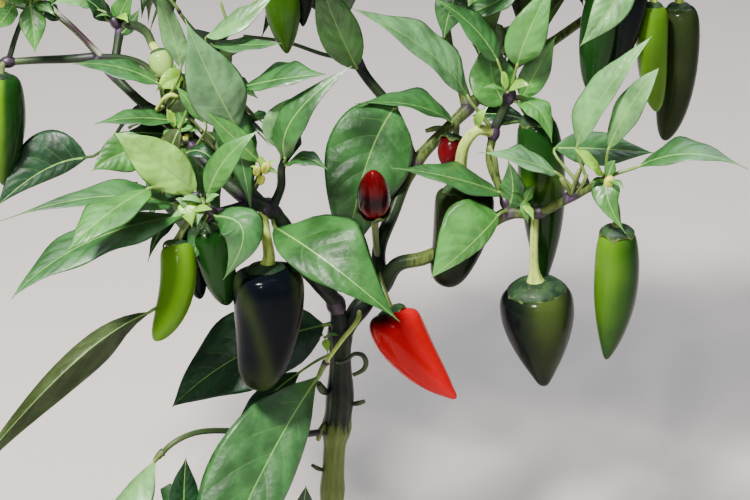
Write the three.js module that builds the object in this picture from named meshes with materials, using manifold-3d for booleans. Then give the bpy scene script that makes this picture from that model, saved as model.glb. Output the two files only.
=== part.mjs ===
// A chilli pepper plant about half a metre tall, rooted in the ground.
// Millimetres, +Z up. The origin is the middle of the flat cut under the main stem, at ground level.
// The stem leans a little, forks at about 220 mm and carries long crooked boughs.
// Each bough ends in a mass of foliage, and each mass is one closed, uneven body with leafy points.

import * as THREE from "three";
import { mergeVertices } from "three/addons/utils/BufferGeometryUtils.js";
import Module from "manifold-3d";

const wasm = await Module();
wasm.setup();

// Driving dimensions, in millimetres.
const FORK_HEIGHT = 219; // where the main stem divides
const FOOT_RADIUS = 6.4; // the main stem at the ground, before the root flare
const STEM_TOP_RADIUS = 5.2; // the main stem at its fork
const ROOT_FLARE = 4.2; // how much the foot widens beyond the taper
const FLARE_HEIGHT = 11; // the height in which the flare dies away
const BOUGH_RADIUS = 4.4; // a main bough where it leaves the fork
const UPRIGHT_RADIUS = 3.6; // the upright bough where it leaves the right one
const BRANCH_RADIUS = 2.6; // a branch where it leaves its bough
const SHOOT_RADIUS = 2.2; // the thinner branches
const TIP_RADIUS = 1.6; // where a branch enters its foliage
const CLEARANCE = 0.3; // between pieces that meet

const STEM_SIDES = 12;
const STEM_RING_SPACING = 9;
const LIMB_SIDES = 7;
const RING_SPACING = 15; // between the rings of a limb
const MASS_DETAIL = 3; // how often each edge of the twenty-sided ball is divided, for a large mass
const SMALL_MASS_DETAIL = 2;
const LARGE_CORE = 23; // a mass whose core is this long or longer is a large one
const POINT_SPREAD = 0.62; // the half angle of a leafy point, in radians
const POINT_CURVE = 1.5; // above 1, the sides of a leafy point are hollow
const RIPPLE = 0.07; // how uneven a mass is between its points, as a share of its core
const RIPPLES = { x: 7, y: 6, z: 5 }; // how often that changes along each axis

// The swellings of the main stem: height, how much thicker, and half their length.
const SWELLINGS = [
  { height: 120, extra: 0.8, spread: 7 },
  { height: 160, extra: 0.7, spread: 7 },
  { height: 176, extra: 1.7, spread: 13 },
];

const stemPaint = new THREE.MeshStandardMaterial({ color: 0x6f7d3f, roughness: 0.6, metalness: 0 });
const boughPaint = new THREE.MeshStandardMaterial({ color: 0x4a5a34, roughness: 0.55, metalness: 0 });
const foliagePaint = new THREE.MeshStandardMaterial({ color: 0x2f6b2a, roughness: 0.45, metalness: 0 });

// Limbs
// A limb follows a smooth curve through its route. `ends` names the mass in which it stops, and
// `from` names the limb that it grows out of.
const LIMBS = {
  main_stem: {
    route: [[0, 0, 0], [0.2, 0, 30], [2.4, 0, 112], [4.5, 0, 151], [7.2, 0, 176], [7.6, 0, FORK_HEIGHT]],
    radius: stemRadius,
    sides: STEM_SIDES,
    spacing: STEM_RING_SPACING,
  },
  bough_left: {
    route: [[7.4, 0, 213], [5.8, -4, 233], [-3, -10, 248.5], [-11.4, -16, 262.5], [-18.4, -24, 285],
      [-24, -30, 296.5], [-36, -34, 305], [-48, -30, 313.5], [-60, -22, 324]],
    radius: tapering(BOUGH_RADIUS, BRANCH_RADIUS),
    from: ["main_stem"],
    ends: ["leaves_left_head", "leaves_left_crown"],
  },
  bough_right: {
    route: [[7.6, 0, 213], [19, 4, 228.5], [29, 8, 238], [37, 8, 249.5], [50, 6, 254], [64, 2, 263],
      [78, 0, 272.5], [92, -4, 283.5], [104, -8, 285], [121, -14, 297], [136, -20, 308]],
    radius: tapering(BOUGH_RADIUS, 2),
    from: ["main_stem", "bough_left"],
    ends: ["leaves_right"],
  },
  bough_upright: {
    route: [[29, 8, 238], [27.5, 16, 253.5], [34.5, 28, 269], [45.5, 44, 289], [74, 64, 313],
      [91, 76, 327], [118, 92, 339], [139, 104, 350]],
    radius: tapering(UPRIGHT_RADIUS, SHOOT_RADIUS),
    from: ["bough_right"],
    ends: ["leaves_top_right"],
  },
  bough_high: {
    route: [[45.5, 44, 289], [36, 54, 313], [18, 62, 336], [10, 66, 360], [0, 64, 395], [-5, 59, 450]],
    radius: tapering(BRANCH_RADIUS, TIP_RADIUS),
    from: ["bough_upright"],
    ends: ["leaves_high"],
  },
  bough_back: {
    route: [[74, 64, 313], [69.5, 78, 325], [65, 94, 334.5], [63.5, 110, 342], [61, 128, 352],
      [48, 146, 370], [23, 160, 392]],
    radius: tapering(BRANCH_RADIUS, TIP_RADIUS),
    from: ["bough_upright"],
    ends: ["leaves_back"],
  },
  branch_left_head: {
    route: [[-26, -31, 298], [-34, -37, 302], [-50, -44, 301]],
    radius: tapering(BRANCH_RADIUS, TIP_RADIUS),
    from: ["bough_left"],
    ends: ["leaves_left_head"],
  },
  branch_left_arm: {
    route: [[-60, -22, 324], [-75, -10, 336], [-86, 0, 339], [-102, 14, 349], [-110, 17, 357]],
    radius: tapering(BRANCH_RADIUS, TIP_RADIUS),
    from: ["bough_left"],
    ends: ["leaves_left_crown", "leaves_left_arm"],
  },
  branch_left_high: {
    route: [[-102, 14, 349], [-98, 28, 372], [-90, 40, 398], [-84, 46, 420]],
    radius: tapering(SHOOT_RADIUS, TIP_RADIUS),
    from: ["branch_left_arm"],
    ends: ["leaves_left_high", "leaves_left_arm"],
  },
  branch_centre: {
    route: [[-24, -30, 296.5], [-19, -32, 309], [-18, -34, 321], [-10, -38, 334]],
    radius: tapering(BRANCH_RADIUS, TIP_RADIUS),
    from: ["bough_left", "branch_left_head"],
    ends: ["leaves_centre"],
  },
  branch_inner: {
    route: [[92, -4, 283.5], [88, 0, 293], [82, 6, 307.5], [84, 10, 322]],
    radius: tapering(BRANCH_RADIUS, TIP_RADIUS),
    from: ["bough_right"],
    ends: ["leaves_inner"],
  },
  branch_high_right: {
    route: [[4, 65, 380], [30, 70, 396], [58, 72, 418]],
    radius: tapering(SHOOT_RADIUS, TIP_RADIUS),
    from: ["bough_high"],
    ends: ["leaves_high_right", "leaves_high"],
  },
  branch_back_left: {
    route: [[11, 66, 356], [-24, 86, 376], [-56, 106, 396]],
    radius: tapering(SHOOT_RADIUS, TIP_RADIUS),
    from: ["bough_high"],
    ends: ["leaves_back_left"],
  },
  branch_back_right: {
    route: [[112, 90, 337], [112, 118, 364], [108, 140, 386]],
    radius: tapering(SHOOT_RADIUS, TIP_RADIUS),
    from: ["bough_upright"],
    ends: ["leaves_back_right"],
  },
  branch_back_low: {
    route: [[-18, -24, 285], [-31, 6, 286], [-50, 38, 291], [-70, 64, 298]],
    radius: tapering(BRANCH_RADIUS, TIP_RADIUS),
    from: ["bough_left"],
    ends: ["leaves_back_low"],
  },
  branch_low: {
    route: [[1, 0, 66], [-24, -18, 80], [-52, -40, 98], [-74, -56, 122]],
    radius: tapering(BRANCH_RADIUS, TIP_RADIUS),
    from: ["main_stem"],
    ends: ["leaves_low"],
  },
};

// Masses of foliage
// `at` is the middle, `core` the half sizes of the body round it, and each of `reaches` is a leafy
// point: its bearing from +X towards +Y and its rise from level, in degrees, and how far it reaches.
const MASSES = {
  leaves_left_head: {
    at: [-72, -52, 309], core: [36, 30, 24],
    reaches: [[-158, 3, 78], [-140, -17, 90], [-133, -3, 60], [-159, 61, 46], [9, 37, 56],
      [-33, -45, 48], [116, -11, 62], [153, -80, 54]],
  },
  leaves_left_crown: {
    at: [-53, -28, 356], core: [28, 27, 26],
    reaches: [[-102, 65, 54], [-174, 68, 62], [15, 56, 60], [-12, 15, 60], [171, -17, 56],
      [-82, 13, 50], [80, 8, 66]],
  },
  leaves_left_arm: {
    at: [-122, 12, 368], core: [30, 28, 24],
    reaches: [[-119, 34, 62], [-150, 1, 70], [173, 30, 84], [-26, -16, 52], [-113, -30, 52],
      [66, 35, 60], [129, 30, 82]],
  },
  leaves_left_high: {
    at: [-84, 50, 432], core: [28, 28, 24],
    reaches: [[-150, 20, 66], [-60, 45, 58], [150, 5, 70], [60, 20, 58], [-30, 0, 50], [100, 55, 54]],
  },
  leaves_centre: {
    at: [-9, -38, 340], core: [17, 14, 16],
    reaches: [[-25, 51, 46], [-28, -49, 26], [-145, -25, 26]],
  },
  leaves_middle: {
    at: [2, -56, 284], core: [20, 12, 12],
    reaches: [[-39, -24, 50], [127, 3, 44], [69, 30, 26]],
  },
  leaves_heart: {
    at: [31, 28, 317], core: [22, 16, 22],
    reaches: [[-129, -50, 52], [-144, 35, 30], [180, 75, 62], [0, 14, 44], [42, -25, 42]],
  },
  leaves_top_middle: {
    at: [32, 62, 378], core: [26, 20, 18],
    reaches: [[-151, -45, 46], [-51, 13, 40], [-18, -23, 66], [-166, 4, 42], [60, 20, 40]],
  },
  leaves_inner: {
    at: [94, 12, 324], core: [24, 22, 22],
    reaches: [[-48, 77, 74], [146, 46, 62], [-155, -14, 64], [-66, -14, 42], [56, 38, 46]],
  },
  leaves_right: {
    at: [138, -24, 318], core: [22, 20, 18],
    reaches: [[-34, 12, 74], [-30, 72, 68], [-62, 60, 64], [-127, 30, 42], [-69, -58, 36],
      [112, -8, 56], [65, -15, 76]],
  },
  leaves_top_right: {
    at: [155, 108, 372], core: [30, 28, 24],
    reaches: [[-128, -38, 48], [-10, 5, 46], [-83, 46, 62], [176, 18, 40], [72, 8, 62], [-40, -50, 48]],
  },
  leaves_high_right: {
    at: [78, 72, 432], core: [30, 28, 24],
    reaches: [[-30, 15, 68], [-80, 30, 62], [40, 25, 66], [120, 50, 56], [-10, 60, 54]],
  },
  leaves_high: {
    at: [-5, 56, 462], core: [34, 32, 26],
    reaches: [[-100, 25, 74], [-20, 45, 64], [80, 30, 66], [170, 40, 60], [200, -10, 58], [60, 72, 58]],
  },
  leaves_back: {
    at: [20, 162, 402], core: [38, 34, 28],
    reaches: [[90, 5, 66], [35, 15, 66], [145, 15, 66], [-90, 45, 66], [100, 62, 54]],
  },
  leaves_back_left: {
    at: [-72, 118, 408], core: [32, 30, 26],
    reaches: [[120, 5, 74], [170, 15, 78], [60, 35, 56], [-150, 20, 62], [90, 60, 50]],
  },
  leaves_back_right: {
    at: [108, 152, 402], core: [30, 28, 24],
    reaches: [[60, 5, 66], [0, 20, 66], [110, 30, 56], [-40, 30, 50]],
  },
  leaves_back_low: {
    at: [-76, 70, 304], core: [32, 28, 24],
    reaches: [[100, 0, 62], [150, 10, 70], [60, 25, 56], [-170, -25, 50], [95, 55, 52]],
  },
  leaves_behind: {
    at: [92, 88, 318], core: [22, 20, 20],
    reaches: [[90, 0, 50], [50, 15, 46], [130, -15, 46], [-60, 30, 34]],
  },
  leaves_low_front: {
    at: [-33, -43, 207], core: [26, 14, 18],
    reaches: [[151, -22, 56], [-114, -38, 70], [47, 8, 60], [20, -41, 34], [106, 4, 42]],
  },
  leaves_low_left: {
    at: [-112, -60, 214], core: [24, 16, 16],
    reaches: [[-139, -18, 72], [18, 54, 60], [-100, -40, 40]],
  },
  leaves_low: {
    at: [-82, -60, 132], core: [26, 22, 14],
    reaches: [[-150, 0, 52], [-60, 35, 36], [80, 10, 46], [0, -5, 40], [-110, -10, 44]],
  },
};

// The main stem's radius: an even taper, the root flare and the swellings.
function stemRadius(share) {
  const height = share * FORK_HEIGHT;
  const taper = THREE.MathUtils.lerp(FOOT_RADIUS, STEM_TOP_RADIUS, share);
  const flare = ROOT_FLARE * Math.exp(-height / FLARE_HEIGHT);
  const swellings = SWELLINGS.map((s) => s.extra * Math.exp(-(((height - s.height) / s.spread) ** 2)));
  return taper + flare + swellings.reduce((sum, extra) => sum + extra, 0);
}

function tapering(start, end) {
  return (share) => THREE.MathUtils.lerp(start, end, share);
}

// A closed solid from a geometry: its corners are merged, so that only their places count.
function solidOf(geometry) {
  const bare = geometry.clone();
  bare.deleteAttribute("normal");
  bare.deleteAttribute("uv");
  const merged = mergeVertices(bare, 1e-4);
  return new wasm.Manifold(
    new wasm.Mesh({
      numProp: 3,
      vertProperties: merged.attributes.position.array,
      triVerts: new Uint32Array(merged.index.array),
    }),
  );
}

// A limb is a cylinder bent onto the curve of its route, ring by ring. `extra` is added all round.
function limbGeometry({ route, radius, sides = LIMB_SIDES, spacing = RING_SPACING }, extra = 0) {
  const curve = new THREE.CatmullRomCurve3(route.map((spot) => new THREE.Vector3(...spot)));
  const steps = Math.max(2, Math.round(curve.getLength() / spacing));
  const frames = curve.computeFrenetFrames(steps);
  const geometry = new THREE.CylinderGeometry(1, 1, 1, sides, steps);
  const places = geometry.getAttribute("position");
  for (let i = 0; i < places.count; i += 1) {
    const ring = Math.round((places.getY(i) + 0.5) * steps);
    const share = ring / steps;
    const place = curve.getPointAt(share);
    const reach = radius(share) + extra;
    place.addScaledVector(frames.normals[ring], places.getX(i) * reach);
    place.addScaledVector(frames.binormals[ring], -places.getZ(i) * reach);
    const isGround = ring === 0 && route[0][2] === 0;
    places.setXYZ(i, place.x, place.y, isGround ? 0 : place.z);
  }
  return geometry;
}

function pointing([bearing, rise]) {
  const round = THREE.MathUtils.degToRad(bearing);
  const up = THREE.MathUtils.degToRad(rise);
  return new THREE.Vector3(Math.cos(round) * Math.cos(up), Math.sin(round) * Math.cos(up), Math.sin(up));
}

// How far a mass reaches in one direction: its rounded core, drawn out towards each leafy point.
function reachOf(direction, { core, reaches }) {
  const body = 1 / Math.hypot(...direction.toArray().map((part, axis) => part / core[axis]));
  const along = Math.sin(RIPPLES.x * direction.x + RIPPLES.z * direction.z);
  const across = Math.cos(RIPPLES.y * direction.y + core[0]);
  const uneven = body * (1 + RIPPLE * along * across);
  let furthest = uneven;
  for (const [bearing, rise, length] of reaches) {
    const away = direction.angleTo(pointing([bearing, rise]));
    const share = Math.max(0, 1 - away / POINT_SPREAD) ** POINT_CURVE;
    furthest = Math.max(furthest, THREE.MathUtils.lerp(uneven, length, share));
  }
  return furthest;
}

// A mass is a ball of even triangles. The corner nearest each leafy point is turned to meet it.
function massGeometry(mass, extra = 0) {
  const isLarge = Math.max(...mass.core) >= LARGE_CORE;
  const bare = new THREE.IcosahedronGeometry(1, isLarge ? MASS_DETAIL : SMALL_MASS_DETAIL);
  bare.deleteAttribute("normal");
  bare.deleteAttribute("uv");
  const geometry = mergeVertices(bare, 1e-4);
  const places = geometry.getAttribute("position");
  const directions = Array.from({ length: places.count }, (_, i) =>
    new THREE.Vector3().fromBufferAttribute(places, i).normalize());
  for (const reach of mass.reaches) {
    const goal = pointing(reach);
    const nearest = directions.reduce((best, direction) =>
      direction.angleTo(goal) < best.angleTo(goal) ? direction : best);
    nearest.copy(goal);
  }
  directions.forEach((direction, i) => {
    const place = direction.clone().multiplyScalar(reachOf(direction, mass) + extra);
    place.add(new THREE.Vector3(...mass.at));
    places.setXYZ(i, place.x, place.y, place.z);
  });
  return geometry;
}

const limbSolid = (name, extra = 0) => solidOf(limbGeometry(LIMBS[name], extra));
const massSolid = (name, extra = 0) => solidOf(massGeometry(MASSES[name], extra));

// What is left of a solid once the others are cut out of it. Where that leaves several bodies,
// the largest is kept.
function cutBack(solid, others) {
  const left = others.reduce((body, other) => body.subtract(other), solid);
  return left.decompose().reduce((best, body) => (body.volume() > best.volume() ? body : best));
}

function meshOf(name, solid, paint) {
  const { vertProperties, triVerts } = solid.getMesh();
  const geometry = new THREE.BufferGeometry();
  geometry.setAttribute("position", new THREE.BufferAttribute(vertProperties, 3));
  geometry.setIndex(new THREE.BufferAttribute(triVerts, 1));
  const faceted = geometry.toNonIndexed();
  faceted.computeVertexNormals();
  const mesh = new THREE.Mesh(faceted, paint);
  mesh.name = name;
  return mesh;
}

const group = new THREE.Group();

// Each limb stops at the limbs that it grows from and at the masses that it enters.
for (const [name, { from = [], ends = [] }] of Object.entries(LIMBS)) {
  const stops = [
    ...from.map((other) => limbSolid(other, CLEARANCE)),
    ...ends.map((other) => massSolid(other, CLEARANCE)),
  ];
  const paint = name === "main_stem" ? stemPaint : boughPaint;
  group.add(meshOf(name, cutBack(limbSolid(name), stops), paint));
}

// Each mass is cut round the limbs that pass through it and round the masses before it.
const massNames = Object.keys(MASSES);
massNames.forEach((name, i) => {
  const passing = Object.keys(LIMBS).filter((limb) => !(LIMBS[limb].ends ?? []).includes(name));
  const cuts = [
    ...passing.map((limb) => limbSolid(limb, CLEARANCE)),
    ...massNames.slice(0, i).map((other) => massSolid(other, CLEARANCE)),
  ];
  group.add(meshOf(name, cutBack(massSolid(name), cuts), foliagePaint));
});

export default group;
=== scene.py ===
# %% [markdown]
# # A chilli pepper plant, finished around its solid model
#
# The solid model holds the stem, the boughs and plain lumps where the foliage is. This lesson hides those
# lumps and grows the real thing in their place: ridged green stems with purple nodes, leaves with sunken
# veins, and glossy fruit on thick stalks. Everything is in metres, in the solid model's own frame, so
# a leaf goes where the solids say and nothing is fitted afterwards.

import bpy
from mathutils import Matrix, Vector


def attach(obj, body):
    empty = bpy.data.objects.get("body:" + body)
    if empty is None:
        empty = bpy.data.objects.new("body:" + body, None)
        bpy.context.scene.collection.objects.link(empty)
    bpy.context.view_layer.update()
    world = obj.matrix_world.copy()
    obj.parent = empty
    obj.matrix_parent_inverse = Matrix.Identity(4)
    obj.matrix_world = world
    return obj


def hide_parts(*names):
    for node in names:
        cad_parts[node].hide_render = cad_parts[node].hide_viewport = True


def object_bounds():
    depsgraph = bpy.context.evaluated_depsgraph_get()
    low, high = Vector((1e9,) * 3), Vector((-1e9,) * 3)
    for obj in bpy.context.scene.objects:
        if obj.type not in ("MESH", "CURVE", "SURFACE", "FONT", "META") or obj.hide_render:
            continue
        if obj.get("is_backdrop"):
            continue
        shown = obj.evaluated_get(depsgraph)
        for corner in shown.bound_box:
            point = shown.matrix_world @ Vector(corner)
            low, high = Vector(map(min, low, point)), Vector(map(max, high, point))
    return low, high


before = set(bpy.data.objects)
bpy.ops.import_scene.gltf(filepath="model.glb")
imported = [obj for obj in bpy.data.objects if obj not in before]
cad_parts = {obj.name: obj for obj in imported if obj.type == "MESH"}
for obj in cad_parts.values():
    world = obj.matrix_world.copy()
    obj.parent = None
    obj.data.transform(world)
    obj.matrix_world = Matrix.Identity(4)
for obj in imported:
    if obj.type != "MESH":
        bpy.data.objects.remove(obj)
solid_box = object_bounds()
print("solid nodes:", len(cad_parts))

# %% The tools used all through
import math
import random
from dataclasses import dataclass

import bpy
import numpy as np
from mathutils import Vector

# %% [markdown]
# ## From a pixel of the photograph to a place on the plant
#
# Every leaf and fruit that the photograph shows is placed where it shows. A pixel alone gives only a
# line of sight, so each spot also names its depth: how far behind the main stem it lies. The same sums
# that carry the camera turn the two into a point in metres, and the plant's limbs are at known depths.

# %% The camera's sums
MM = 0.001
PHOTO_WIDTH = 750
PHOTO_MIDDLE = np.array([375.0, 250.0])
CAMERA_TILT = math.radians(25)
CAMERA_DISTANCE = 0.9
FOCAL_PIXELS = 1800.0
AIM = np.array([0.0255, 0.0, 0.2614])

SKY = np.array([0, 0, 1.0])
LOOK = np.array([0, math.cos(CAMERA_TILT), -math.sin(CAMERA_TILT)])
UP = np.array([0, math.sin(CAMERA_TILT), math.cos(CAMERA_TILT)])
RIGHT = np.array([1.0, 0, 0])
EYE = AIM - CAMERA_DISTANCE * LOOK


def spot(across, down, depth):
    """The point behind a pixel of the photograph, on the upright plane `depth` mm behind the stem."""
    ray = LOOK + (RIGHT * (across - PHOTO_MIDDLE[0]) - UP * (down - PHOTO_MIDDLE[1])) / FOCAL_PIXELS
    return EYE + ray * (depth * MM - EYE[1]) / ray[1]


def pixels(points):
    """Where points in metres show in the photograph."""
    away = np.asarray(points, float) - EYE
    plane = np.stack([away @ RIGHT, -(away @ UP)], axis=-1) / (away @ LOOK)[..., None]
    return PHOTO_MIDDLE + FOCAL_PIXELS * plane


def unit(vectors):
    vectors = np.asarray(vectors, float)
    return vectors / np.linalg.norm(vectors, axis=-1, keepdims=True)


def facing(right, up, towards):
    """A direction told as the camera sees it: to the right, up and towards the camera."""
    return unit(right * RIGHT + up * UP - towards * LOOK)

# %% [markdown]
# ## The limbs' routes
#
# The stem forks once, low down, and each bough forks again. The routes repeat those of the solid model,
# in millimetres, so the bark lies exactly where the solids are. A Catmull-Rom curve passes through
# every point, as a bent twig does, and it gives the leaves a limb to grow from.

# %% The limbs' routes
LIMBS = {
    "main_stem": [(0, 0, 0), (0.2, 0, 30), (2.4, 0, 112), (4.5, 0, 151), (7.2, 0, 176), (7.6, 0, 219)],
    "bough_left": [(7.4, 0, 213), (5.8, -4, 233), (-3, -10, 248.5), (-11.4, -16, 262.5), (-18.4, -24, 285),
        (-24, -30, 296.5), (-36, -34, 305), (-48, -30, 313.5), (-60, -22, 324)],
    "bough_right": [(7.6, 0, 213), (19, 4, 228.5), (29, 8, 238), (37, 8, 249.5), (50, 6, 254), (64, 2, 263),
        (78, 0, 272.5), (92, -4, 283.5), (104, -8, 285), (121, -14, 297), (136, -20, 308)],
    "bough_upright": [(29, 8, 238), (27.5, 16, 253.5), (34.5, 28, 269), (45.5, 44, 289), (74, 64, 313),
        (91, 76, 327), (118, 92, 339), (139, 104, 350)],
    "bough_high": [(45.5, 44, 289), (36, 54, 313), (18, 62, 336), (10, 66, 360), (0, 64, 395),
        (-5, 59, 450)],
    "bough_back": [(74, 64, 313), (69.5, 78, 325), (65, 94, 334.5), (63.5, 110, 342), (61, 128, 352),
        (48, 146, 370), (23, 160, 392)],
    "branch_left_head": [(-26, -31, 298), (-34, -37, 302), (-50, -44, 301)],
    "branch_left_arm": [(-60, -22, 324), (-75, -10, 336), (-86, 0, 339), (-102, 14, 349), (-110, 17, 357)],
    "branch_left_high": [(-102, 14, 349), (-98, 28, 372), (-90, 40, 398), (-84, 46, 420)],
    "branch_centre": [(-24, -30, 296.5), (-19, -32, 309), (-18, -34, 321), (-10, -38, 334)],
    "branch_inner": [(92, -4, 283.5), (88, 0, 293), (82, 6, 307.5), (84, 10, 322)],
    "branch_high_right": [(4, 65, 380), (30, 70, 396), (58, 72, 418)],
    "branch_back_left": [(11, 66, 356), (-24, 86, 376), (-56, 106, 396)],
    "branch_back_right": [(112, 90, 337), (112, 118, 364), (108, 140, 386)],
    "branch_back_low": [(-18, -24, 285), (-31, 6, 286), (-50, 38, 291), (-70, 64, 298)],
    "branch_low": [(1, 0, 66), (-24, -18, 80), (-52, -40, 98), (-74, -56, 122)],
}


def smooth_route(points, step=2 * MM):
    """A curve through all the points that bends as a twig does, sampled about every `step` metres."""
    points = np.asarray(points, float)
    ends = np.vstack([2 * points[0] - points[1], points, 2 * points[-1] - points[-2]])
    pieces = []
    for before, start, end, after in zip(ends, ends[1:], ends[2:], ends[3:]):
        spans = start - before, end - start, after - end
        first, middle, last = (np.linalg.norm(span) ** 0.5 for span in spans)
        leave = ((start - before) / first - (end - before) / (first + middle)) * middle + end - start
        arrive = ((after - end) / last - (after - start) / (middle + last)) * middle + end - start
        count = max(2, math.ceil(np.linalg.norm(end - start) / step))
        t = np.linspace(0, 1, count, endpoint=False)[:, None]
        pieces.append((2 * t**3 - 3 * t**2 + 1) * start + (t**3 - 2 * t**2 + t) * leave
                      + (3 * t**2 - 2 * t**3) * end + (t**3 - t**2) * arrive)
    return np.vstack(pieces + [points[-1:]])


LIMB_ROUTES = {name: smooth_route(np.array(route) * MM) for name, route in LIMBS.items()}
LIMB_SPOTS = np.vstack(list(LIMB_ROUTES.values()))
print("limbs:", len(LIMBS), "with", len(LIMB_SPOTS), "spots along them")


def nearest_spot(place):
    """The number of the spot on a limb's middle line that lies nearest to a place."""
    return np.argmin(np.linalg.norm(LIMB_SPOTS - place, axis=1))


def on_limb(place):
    return LIMB_SPOTS[nearest_spot(place)]

# %% [markdown]
# ## Twigs that carry the leaves and the fruit
#
# Between the boughs and the leaves are twigs too thin for the solid model. Those that the photograph
# shows are placed one by one, the same way as the leaves, and each starts on a limb. A row holds the twig's
# radius in millimetres, its finish, and its spots: a pixel with a depth.

# %% Twigs of the photograph
TWIGS = {
    "crown": (1.5, "twig", [(245, 197, -34), (243, 165, -36), (236, 125, -33), (226, 85, -29),
        (212, 42, -27)]),
    "young_pod": (1.0, "twig", [(165, 117, -10), (163, 103, -12), (160, 86, -14)]),
    "arm_to_pod": (1.8, "twig", [(98, 58, 17), (124, 58, 10), (146, 66, 0), (158, 82, -12)]),
    "arm_to_corner": (2.4, "twig", [(96, 57, 17), (69, 59, 15), (40, 60, 11), (8, 62, 8)]),
    "pod_arch": (2.7, "twig", [(112, 23, 28), (130, 24, 22), (146, 32, 12), (153, 47, 4)]),
    "arm_young": (1.0, "twig", [(117, 28, 27), (108, 12, 24), (100, -8, 22)]),
    "corner_young": (1.5, "twig", [(8, 62, 8), (18, 30, 10), (34, -6, 12)]),
    "across_back": (1.2, "twig", [(350, 62, 63), (326, 55, 58), (286, 42, 44), (244, 36, 28)]),
    "left_rosette": (1.0, "twig", [(214, 213, -44), (205, 205, -46), (200, 194, -47)]),
    "centre_buds": (1.0, "twig", [(249, 200, -35), (258, 184, -38), (262, 168, -38)]),
    "right_fork": (1.0, "twig", [(573, 195, -14), (580, 172, -14), (585, 160, -12)]),
    "inner_high": (2.6, "twig", [(494, 129, 11), (508, 100, 12), (512, 88, 12)]),
    # Its stalk is pale at both ends where highlights are painted, dark purple between.
    "striped": (1.5, "striped_stalk", [(104, 57, 16), (86, 40, 18), (68, 22, 20), (50, 6, 22)]),
    "low_cut_stalk": (1.9, "twig", [(322, 430, 0), (280, 436, -20), (235, 431, -40), (195, 433, -52),
        (172, 444, -58), (158, 458, -61)]),
    "low_leaf_stalk": (1.35, "pale_stalk", [(366, 311, 2), (357, 321, -9), (342, 340, -14),
        (326, 362, -16)]),
}
TWIG_ROUTES = {}
for name, (_, _, places) in TWIGS.items():
    route = np.array([spot(*place) for place in places])
    route[0] = on_limb(route[0])
    TWIG_ROUTES[name] = smooth_route(route)
    LIMB_SPOTS = np.vstack([LIMB_SPOTS, TWIG_ROUTES[name]])
print("twigs placed by hand:", len(TWIGS))

# %% [markdown]
# ## The shape of one leaf
#
# A pepper leaf is a pointed oval, widest a third of the way up, folded a little along its midrib, with
# edges that droop and wave and a blade that swells between sunken side veins. One function works this
# out as a grid of points. The grid's rows sweep forward from the midrib just as the side veins do, so
# every vein is a row of the mesh. The veins leave the midrib by turns, first left and then right, and
# the swelling between them is real shape, so it catches the light like a leaf.

# %% A leaf's outline and its grid of points
VEIN_SWEEP, VEIN_BEND = 0.26, 1.3
VEINS, FIRST_VEIN, VEIN_GAP = 6, 0.10, 0.125
LAST_VEIN = FIRST_VEIN + (VEINS - 1) * VEIN_GAP
MIDRIB_HALF, MIDRIB_AT_BASE, MIDRIB_SHARE = 0.36, 1.25, 0.9
THINNEST = 0.6 * MIDRIB_HALF
EDGE_WAVES, OTHER_EDGE_LAG = 2.6, 1.7
SWELL_FULLNESS = 0.8
TWIST_FROM = 0.35


@dataclass
class Leaf:
    """One blade: three places of its midrib in metres, its width in mm and where its upper side faces.

    `lean` makes the half on the left of the midrib wider, seen from above with the tip ahead, and the
    right one narrower. `fold`, `droop` and `twist` are in degrees, `wave` is a share of the half width,
    `widest` a share of the length, and `stalk` how thick its stalk is beside the usual one.
    """
    base: np.ndarray
    through: np.ndarray
    tip: np.ndarray
    wide: float
    face: np.ndarray
    grows_from: np.ndarray = None
    fold: float = 16
    droop: float = 30
    twist: float = 0
    wave: float = 0.08
    widest: float = 0.4
    fullness: float = 0.95
    lean: float = 0.0
    tone: str = "mid"
    stalk: float = 1.0
    stalk_paint: str = "leaf_stalk"

    def half_width(self, along):
        """Half the width in mm, from the base (0) to the tip (1)."""
        along = np.clip(along, 0, 1)
        tip_point = self.fullness * (1 - self.widest) / self.widest
        oval = (along / self.widest) ** self.fullness * ((1 - along) / (1 - self.widest)) ** tip_point
        return np.maximum(self.wide / 2 * oval, THINNEST)


def bowed(start, middle, end, share):
    """Places along a curve through three points, and the way ahead at each."""
    pull = 2 * middle - (start + end) / 2
    places = (1 - share) ** 2 * start + 2 * share * (1 - share) * pull + share**2 * end
    return places, unit((1 - share) * (pull - start) + share * (end - pull))


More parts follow.
